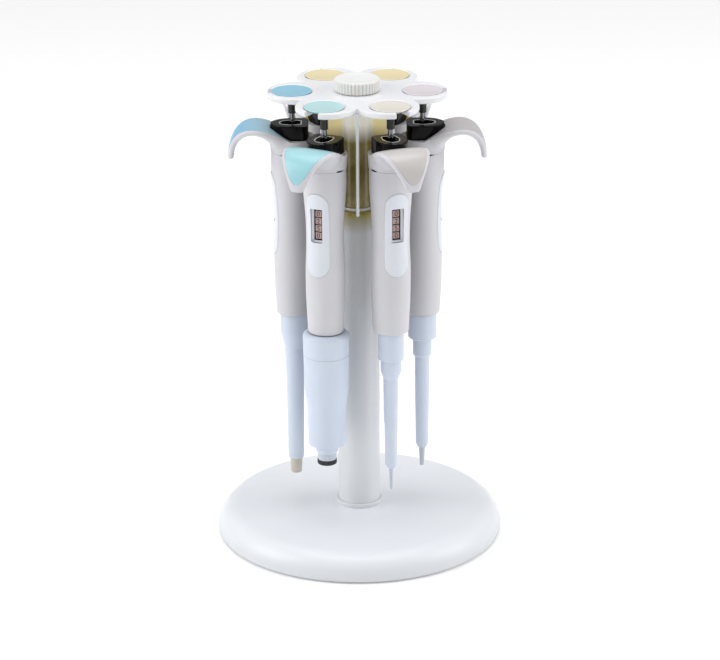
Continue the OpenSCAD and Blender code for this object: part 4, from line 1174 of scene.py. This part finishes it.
def notch_cutter(h):
    """Two notches across the seam, one on each flank."""
    seam = -h.cap_z - h.head_h + h.seam_lift
    lenses = []
    for angle in NOTCH_ANGLES:
        bm = slab(lens(h.mark_l / 2, h.mark_h / 2), h.head_r - NOTCH_DEPTH, h.head_r + 3)
        bm.transform(Matrix.Rotation(math.radians(angle), 4, "Z") @ Matrix.Translation((0, 0, seam)) @ OUTWARDS)
        lenses.append(bm)
    return piece("notches", join(lenses))


class CAROUSEL_OT_heads(Operator):
    """Shape the heads with their finger hooks"""
    bl_idname = "carousel.heads"
    bl_label = "Hook heads"

    def execute(self, context):
        h = in_mm(context.scene.carousel_handle)
        seam = -h.cap_z - h.head_h
        slope = (h.head_rim_r - h.head_r) / h.head_h
        barrel = [(0, seam - 3), (h.head_r - 3 * slope, seam - 3), (h.head_rim_r, -h.cap_z), (0, -h.cap_z)]
        head = piece("head", join([hook_loft(h), turned(barrel, 96)]))
        modify(head, "REMESH", mode="VOXEL", voxel_size=0.0006)
        modify(head, "SMOOTH", factor=0.5, iterations=6)
        recess = piece("recess", pad_mesh(h, -h.pad_gap, 3.0, h.pad_t))
        cut(head, seam_cutter(h), rise_cutter(h), pocket_cutter(h, h.cap_gap, seam + POCKET_FLOOR), notch_cutter(h),
            recess)
        whole(head)
        shade(head.data, 38)
        hang((head, "head", "grip", "warm_grip", "hook_head"))
        return {"FINISHED"}


def pad_mesh(h, shrink, above, below, rows=44, columns=28):
    """The shield-shaped pad between two depths from the hook's face, from the cap to near the tip."""
    grid = []
    for i in range(rows + 1):
        t = PAD_FIRST + (PAD_LAST - PAD_FIRST) * i / rows
        half_w = hook_section(h, t)[3] - h.pad_rim - shrink
        close = max(0.0, (t - PAD_CLOSING) / (PAD_LAST + 0.004 - shrink * 0.02 - PAD_CLOSING))
        half_w *= math.sqrt(max(0.0, 1 - close ** 2.2))
        grid.append([(t, half_w * math.sin(math.pi / 2 * (2 * j / columns - 1))) for j in range(columns + 1)])
    bm = bmesh.new()
    upper = [[bm.verts.new(hook_point(h, t, y, -above)) for t, y in row] for row in grid]
    lower = [[bm.verts.new(hook_point(h, t, y, below)) for t, y in row] for row in grid]
    for i in range(rows):
        for j in range(columns):
            bm.faces.new((upper[i][j], upper[i][j + 1], upper[i + 1][j + 1], upper[i + 1][j]))
            bm.faces.new((lower[i][j], lower[i + 1][j], lower[i + 1][j + 1], lower[i][j + 1]))
    border = ([(0, j) for j in range(columns)] + [(i, columns) for i in range(rows)]
              + [(rows, j) for j in range(columns, 0, -1)] + [(i, 0) for i in range(rows, 0, -1)])
    for (a, b), (c, d) in zip(border, border[1:] + border[:1]):
        bm.faces.new((upper[a][b], lower[a][b], lower[c][d], upper[c][d]))
    bmesh.ops.recalc_face_normals(bm, faces=bm.faces)
    return bm


class CAROUSEL_OT_pads(Operator):
    """Lay the coloured pads on the hooks"""
    bl_idname = "carousel.pads"
    bl_label = "Hook pads"

    def execute(self, context):
        h = in_mm(context.scene.carousel_handle)
        pad = piece("pad", pad_mesh(h, 0.0, 0.0, h.pad_t - 0.06))
        modify(pad, "BEVEL", width=0.00028, segments=3, limit_method="ANGLE", angle_limit=math.radians(60))
        cut(pad, rise_cutter(h), pocket_cutter(h, h.cap_gap + 0.1, -60))
        shade(pad.data, 45)
        hang((pad, "pad", "pad_{}", "pad_{}", "hook_pad"))
        return {"FINISHED"}


def grip_radius(h, z):
    """Radius of the grip at a height in the pipette's frame."""
    seam = -h.cap_z - h.head_h
    waist_r, belly_r = GRIP_WAIST[0], GRIP_BELLY[0]
    stretches = [
        [(GRIP_TOP_R, 0), (13.6, -17.2), (waist_r, -21.5), GRIP_WAIST],
        [GRIP_WAIST, (waist_r, -54.5), (belly_r, -54.5), GRIP_BELLY],
        [GRIP_BELLY, (belly_r, -84.4), (11.3, 12 - h.grip_l), (GRIP_END_R, -h.grip_l)],
    ]
    drop = z - seam
    for points in stretches:
        if drop >= points[3][1]:
            low, high = 0.0, 1.0
            for _ in range(24):
                t = (low + high) / 2
                if bezier(points, t).y > drop:
                    low = t
                else:
                    high = t
            return bezier(points, (low + high) / 2).x
    return stretches[-1][3][0]


def pill(half_w, low, high, radius):
    """An upright outline with rounded corners."""
    return rounded([(-half_w, low, radius), (half_w, low, radius), (half_w, high, radius), (-half_w, high, radius)],
                   closed=True)


def window_outline(h, low, high):
    """Outline of the dial's window between two heights."""
    return pill(h.window_w / 2, low, high, 0.7)


class CAROUSEL_OT_grips(Operator):
    """Turn the grips and open their windows"""
    bl_idname = "carousel.grips"
    bl_label = "Grips"

    def execute(self, context):
        h = in_mm(context.scene.carousel_handle)
        seam = -h.cap_z - h.head_h
        foot = seam - h.grip_l
        side = [(grip_radius(h, foot + h.grip_l * i / 64), foot + h.grip_l * i / 64) for i in range(65)]
        side[0] = side[0] + (0.7,)
        crown = seam + h.seam_lift - 0.06
        side.append((side[-1][0] + 0.12, crown, h.seam_rounding))
        outline = [(0, foot + SOCKET_L), (5, foot + SOCKET_L), (5, foot, 0.3)] + side + [(4.5, crown), (0, crown)]
        grip = piece("grip", turned(rounded(outline), 128))
        top = seam - h.dial_drop - h.window_drop
        bm = slab(window_outline(h, top - h.window_l, top), 8.4, 16)
        bm.transform(OUTWARDS)
        cut(grip, notch_cutter(h), piece("window", bm))
        soften(grip)
        hang((grip, "grip_shell", "grip", "warm_grip", "grip"))
        return {"FINISHED"}


class CAROUSEL_OT_dials(Operator):
    """Fit the white dial plates, the number drums and the dark wells behind them"""
    bl_idname = "carousel.dials"
    bl_label = "Dials"

    def execute(self, context):
        h = in_mm(context.scene.carousel_handle)
        seam = -h.cap_z - h.head_h
        top = seam - h.dial_drop
        plate = self.plate(h, top)
        window_top = top - h.window_drop
        well, funnel = self.well(h, window_top), self.funnel(h, window_top)
        drums, digits = self.drums(h, window_top)
        notches = self.notches(h, seam + h.seam_lift)
        hang((plate, "dial_plate", "grip", "white_label"), (well, "dial_well", "cap", "dark_well"),
             (funnel, "dial_funnel", "grip", "white_label"), (drums, "dial_drums", "grip", "pink_drum"),
             (digits, "dial_digits", "cap", "dark_well"), (notches, "seam_notch", "cap", "dark_well"))
        return {"FINISHED"}

    def plate(self, h, top):
        """The white plate, bent round the grip, with its window."""
        half_w, count, face, bands = h.dial_w / 2, 96, h.dial_proud, 10
        middle = top - h.window_drop - h.window_l / 2
        rim = self.evenly(pill(half_w, top - h.dial_l, top, half_w * 0.96), count)
        window = self.evenly(window_outline(h, middle - h.window_l / 2, middle + h.window_l / 2), count)
        edge, lip = inset(rim, 0.2), inset(window, -0.2)
        rows = [(rim, -0.25), (rim, face - 0.18), (inset(rim, 0.05), face - 0.05), (edge, face)]
        rows += [([(a[0] + (b[0] - a[0]) * i / bands, a[1] + (b[1] - a[1]) * i / bands) for a, b in zip(edge, lip)],
                  face) for i in range(1, bands)]
        rows += [(lip, face), (inset(window, -0.05), face - 0.05), (window, face - 0.2), (window, -0.6)]
        rings = []
        for loop, rise in rows:
            ring = []
            for y, z in loop:
                radius = grip_radius(h, z) + rise
                ring.append((math.sqrt(max(0.0, radius ** 2 - y * y)), y, z))
            rings.append(ring)
        return soften(piece("plate", rings_mesh(rings, closed=True)), 40)

    @staticmethod
    def evenly(outline, count):
        """An outline with evenly spaced points, starting from its lowest middle point."""
        start = min(range(len(outline)), key=lambda i: (round(outline[i][1], 3), abs(outline[i][0])))
        points = [Vector(p) for p in outline[start:] + outline[:start]]
        points.append(points[0])
        lengths = [0.0]
        for a, b in zip(points, points[1:]):
            lengths.append(lengths[-1] + (b - a).length)
        spread, i = [], 0
        for n in range(count):
            want = lengths[-1] * n / count
            while lengths[i + 1] < want:
                i += 1
            step = (want - lengths[i]) / max(1e-9, lengths[i + 1] - lengths[i])
            spread.append(tuple(points[i].lerp(points[i + 1], step)))
        return spread

    def funnel(self, h, top):
        """Pale sloping walls from the window in to the slot of the drums."""
        rings = []
        for x, half_w, sunk in ((WINDOW_X, h.window_w / 2 - 0.03, 0.03), (WINDOW_X, h.window_w / 2 - 0.25, 0.25),
                                (SLOT_X, h.drum_slot_w / 2, SLOT_END), (FUNNEL_X, h.drum_slot_w / 2, SLOT_END),
                                (FUNNEL_X, h.window_w / 2 - 0.03, 0.03)):
            rings.append(self.frame(x, half_w, top - h.window_l + sunk, top - sunk))
        return piece("funnel", rings_mesh(rings, closed=True))

    @staticmethod
    def frame(x, half_w, low, high):
        """Four corners that face outwards at a distance from the axis."""
        return [(x, -half_w, low), (x, half_w, low), (x, half_w, high), (x, -half_w, high)]

    def well(self, h, top):
        """A dark box behind the window, open to the front."""
        half_w, sunk, wall = h.drum_slot_w / 2 - 0.02, SLOT_END + 0.02, WELL_WALL
        low, high = top - h.window_l + sunk, top - sunk
        loops = [self.frame(WELL_BACK, half_w, low, high), self.frame(WELL_FRONT, half_w, low, high),
                 self.frame(WELL_FRONT, half_w - wall, low + wall, high - wall),
                 self.frame(WELL_BACK + wall, half_w - wall, low + wall, high - wall)]
        return piece("well", rings_mesh(loops, capped=True))

    def drums(self, h, top):
        """Four number drums, one above another, with plain digits."""
        pitch = (h.window_l - 2 * SLOT_END) / 4.2
        half, steps = math.radians(DRUM_HALF_ANGLE), 12
        bodies, numbers = [], []
        for n, digit in enumerate(DIGITS):
            high = top - SLOT_END - pitch * (n + 0.17)
            low = high - pitch * 0.86
            outline = rounded([(DRUM_BACK_R, low), (DRUM_R, low, 0.3), (DRUM_R, high, 0.3), (DRUM_BACK_R, high)],
                              closed=True)
            turns = [-half + 2 * half * i / steps for i in range(steps + 1)]
            rings = [[(r * math.cos(a), r * math.sin(a), z) for r, z in outline] for a in turns]
            bodies.append(rings_mesh(rings, capped=True))
            numbers.append(self.digit(digit, DRUM_R, (low + high) / 2, (high - low) * 0.82))
        return piece("drums", join(bodies)), piece("digits", join(numbers))

    def digit(self, text, radius, middle, height):
        """A plain digit wrapped on a drum."""
        curve = bpy.data.curves.new("digit", "FONT")
        curve.body = text
        curve.size = height * 1.3
        curve.extrude = 0.05
        curve.resolution_u = 4
        shown = bpy.data.objects.new("digit", curve)
        bpy.context.scene.collection.objects.link(shown)
        bpy.context.view_layer.update()
        mesh = bpy.data.meshes.new_from_object(shown.evaluated_get(bpy.context.evaluated_depsgraph_get()))
        bpy.data.objects.remove(shown)
        bpy.data.curves.remove(curve)
        bm = bmesh.new()
        bm.from_mesh(mesh)
        bpy.data.meshes.remove(mesh)
        bmesh.ops.remove_doubles(bm, verts=bm.verts, dist=1e-4)
        bmesh.ops.subdivide_edges(bm, edges=[e for e in bm.edges if e.calc_length() > 0.6], cuts=2)
        across = [v.co.x for v in bm.verts]
        up = [v.co.y for v in bm.verts]
        centre = ((min(across) + max(across)) / 2, (min(up) + max(up)) / 2)
        for v in bm.verts:
            y, z, out = v.co.x - centre[0], v.co.y - centre[1], v.co.z
            v.co = (math.sqrt(radius ** 2 - y * y) + out + 0.02, y, middle + z)
        return bm

    def notches(self, h, seam):
        """Dark linings in the two release notches."""
        outline = lens(h.mark_l / 2 - 0.05, h.mark_h / 2 - 0.03)
        lenses = []
        for angle in NOTCH_ANGLES:
            rings = [[(h.head_r - depth, y, z) for y, z in outline] for depth in (NOTCH_DEPTH - 0.02, 0.5)]
            lining = rings_mesh(rings, capped=True)
            for vert in lining.verts:
                vert.co.x = math.sqrt(max(0.0, vert.co.x ** 2 - vert.co.y ** 2))
            lining.transform(Matrix.Translation((0, 0, seam)) @ Matrix.Rotation(math.radians(angle), 4, "Z"))
            lenses.append(lining)
        return piece("notch", join(lenses))


class CAROUSEL_OT_barrels(Operator):
    """Turn the ejector sleeves, the nozzles and the seal of the wide one"""
    bl_idname = "carousel.barrels"
    bl_label = "Barrels"

    def execute(self, context):
        h = in_mm(context.scene.carousel_handle)
        top = -h.cap_z - h.head_h - h.grip_l - SLEEVE_GAP
        for k in STATIONS:
            kind = BARREL_AT[k]
            steps = SLEEVES[kind]
            tip_r, end_r, tip_l = NOZZLES[kind]
            core_r = steps[-1][0] - SLEEVE_WALL
            bore_r = core_r + SLEEVE_GAP
            outline, z = [(bore_r, top), (steps[0][0], top, WIDE_SHOULDER if kind == "wide" else SHOULDER)], top
            for (_, drop, _), (following, _, rounding) in zip(steps, steps[1:] + [(tip_r + 0.8, 0, 0.5)]):
                z -= drop
                outline.append((following, z, rounding))
            end = z
            lip_r, closed_z, ledge = tip_r + SLEEVE_GAP, end + SLEEVE_END, end + SLEEVE_END + SLEEVE_GAP
            outline += [(lip_r, end, 0.2), (lip_r, closed_z), (bore_r, closed_z)]
            sleeve = lathe(f"sleeve_{k}", outline, 96, station_place(k))
            settle(sleeve, f"ejector_{k}", "sleeve", material("cool_sleeve"), f"ejector_sleeve_{k}")
            foot, hole_r, hole_l = end - tip_l, end_r / 2, 8
            shape = [(0, top + SOCKET_L), (core_r, top + SOCKET_L), (core_r, ledge), (tip_r, ledge), (tip_r, end),
                     (end_r, foot, 0.35), (hole_r, foot, 0.15), (hole_r, foot + hole_l), (0, foot + hole_l)]
            nozzle = lathe(f"tip_cone_{k}", shape, 64, station_place(k), closed=False)
            finish = "cream_nozzle" if kind == "medium" else "white_nozzle"
            settle(nozzle, f"handle_{k}", "nozzle", material(finish), f"nozzle_{k}")
            if kind == "wide":
                inner_r, low, high = end_r - 1.2, foot - 0.15, foot + SEAL_H
                hoop = [(inner_r, high), (inner_r, low, 0.5), (SEAL_R, low, 1.1), (SEAL_R, high, 1.1)]
                settle(lathe(f"seal_{k}", hoop, 96, station_place(k)), f"handle_{k}", "rubber",
                       material("black_rubber"))
        return {"FINISHED"}


class CAROUSEL_OT_inner(Operator):
    """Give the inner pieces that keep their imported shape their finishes"""
    bl_idname = "carousel.inner"
    bl_label = "Inner pieces"

    def execute(self, context):
        finishes = {"base_ballast": "dull_steel", "base_cover": "gloss_base", "rubber_feet": "black_rubber",
                    "spindle": "chrome", "thrust_washer": "ivory_bush", "hub_bushes": "ivory_bush"}
        finishes.update({f"push_rod_{k}": "chrome" for k in STATIONS})
        for node, finish in finishes.items():
            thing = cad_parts[node]
            thing.data.materials.clear()
            thing.data.materials.append(material(finish))
        return {"FINISHED"}


class CAROUSEL_OT_stage(Operator):
    """Set up the pale floor, the soft studio light and the camera"""
    bl_idname = "carousel.stage"
    bl_label = "Stage"

    def execute(self, context):
        scene = context.scene
        bm = turned([(0, 0), (FLOOR_R, 0)])
        for face in bm.faces:
            if face.normal.z < 0:
                face.normal_flip()
        floor = piece("floor", bm, Matrix.Identity(4))
        floor.data.materials.append(material("pale_floor"))
        world = bpy.data.worlds.new("studio")
        world.use_nodes = True
        background = world.node_tree.nodes["Background"]
        background.inputs["Color"].default_value = (1.0, 1.0, 1.0, 1)
        background.inputs["Strength"].default_value = ROOM_LIGHT
        scene.world = world
        for name, (place, size, power) in LAMPS.items():
            self.softbox(name, place, size, power)
        camera = bpy.data.cameras.new("camera")
        camera.lens = CAMERA.lens
        camera.sensor_width = CAMERA.sensor
        camera.clip_end = 50
        holder = bpy.data.objects.new("camera", camera)
        pitch, distance = math.radians(CAMERA.pitch), CAMERA.distance
        stand_at = (CAMERA.aim_x, -distance * math.cos(pitch), CAMERA.aim_z + distance * math.sin(pitch))
        holder.matrix_world = (Matrix.Translation(stand_at) @ Matrix.Rotation(math.radians(90) - pitch, 4, "X")
                               @ Matrix.Rotation(math.radians(CAMERA.roll), 4, "Z"))
        scene.collection.objects.link(holder)
        scene.camera = holder
        scene.view_settings.view_transform = "Standard"
        return {"FINISHED"}

    def softbox(self, name, place, size, power):
        """A square area light that looks at the middle of the stand."""
        light = bpy.data.lights.new(name, "AREA")
        light.shape = "SQUARE"
        light.size = size
        light.energy = power
        holder = bpy.data.objects.new(name, light)
        holder.location = place
        holder.rotation_euler = (Vector(LAMPS_LOOK_AT) - Vector(place)).to_track_quat("-Z", "Y").to_euler()
        bpy.context.scene.collection.objects.link(holder)


class CAROUSEL_PT_sidebar(Panel):
    """Lists the sizes, the colours and the operators of the carousel stand"""
    bl_idname = "CAROUSEL_PT_sidebar"
    bl_label = "Pipette Carousel Stand"
    bl_space_type = "VIEW_3D"
    bl_region_type = "UI"
    bl_category = "Carousel"

    def draw(self, context):
        for operator in OPERATORS:
            self.layout.operator(operator.bl_idname)
        for group in (context.scene.carousel_stand, context.scene.carousel_handle, context.scene.carousel_finishes):
            box = self.layout.box()
            for item in group.bl_rna.properties:
                if item.type in ("FLOAT", "INT"):
                    box.prop(group, item.identifier)


OPERATORS = (CAROUSEL_OT_stage, CAROUSEL_OT_base, CAROUSEL_OT_column, CAROUSEL_OT_rotor, CAROUSEL_OT_knob,
             CAROUSEL_OT_buttons, CAROUSEL_OT_caps, CAROUSEL_OT_heads, CAROUSEL_OT_pads, CAROUSEL_OT_grips,
             CAROUSEL_OT_dials, CAROUSEL_OT_barrels, CAROUSEL_OT_inner)
CLASSES = (StandSizes, HandleSizes, Finishes) + OPERATORS + (CAROUSEL_PT_sidebar,)


def register():
    for item in CLASSES:
        bpy.utils.register_class(item)
    bpy.types.Scene.carousel_stand = PointerProperty(type=StandSizes)
    bpy.types.Scene.carousel_handle = PointerProperty(type=HandleSizes)
    bpy.types.Scene.carousel_finishes = PointerProperty(type=Finishes)


def unregister():
    for name in ("carousel_stand", "carousel_handle", "carousel_finishes"):
        delattr(bpy.types.Scene, name)
    for item in reversed(CLASSES):
        bpy.utils.unregister_class(item)


def main():
    """Builds every piece and the stage."""
    register()
    for operator in OPERATORS:
        family, name = operator.bl_idname.split(".")
        getattr(getattr(bpy.ops, family), name)()


if __name__ == "__main__":
    main()
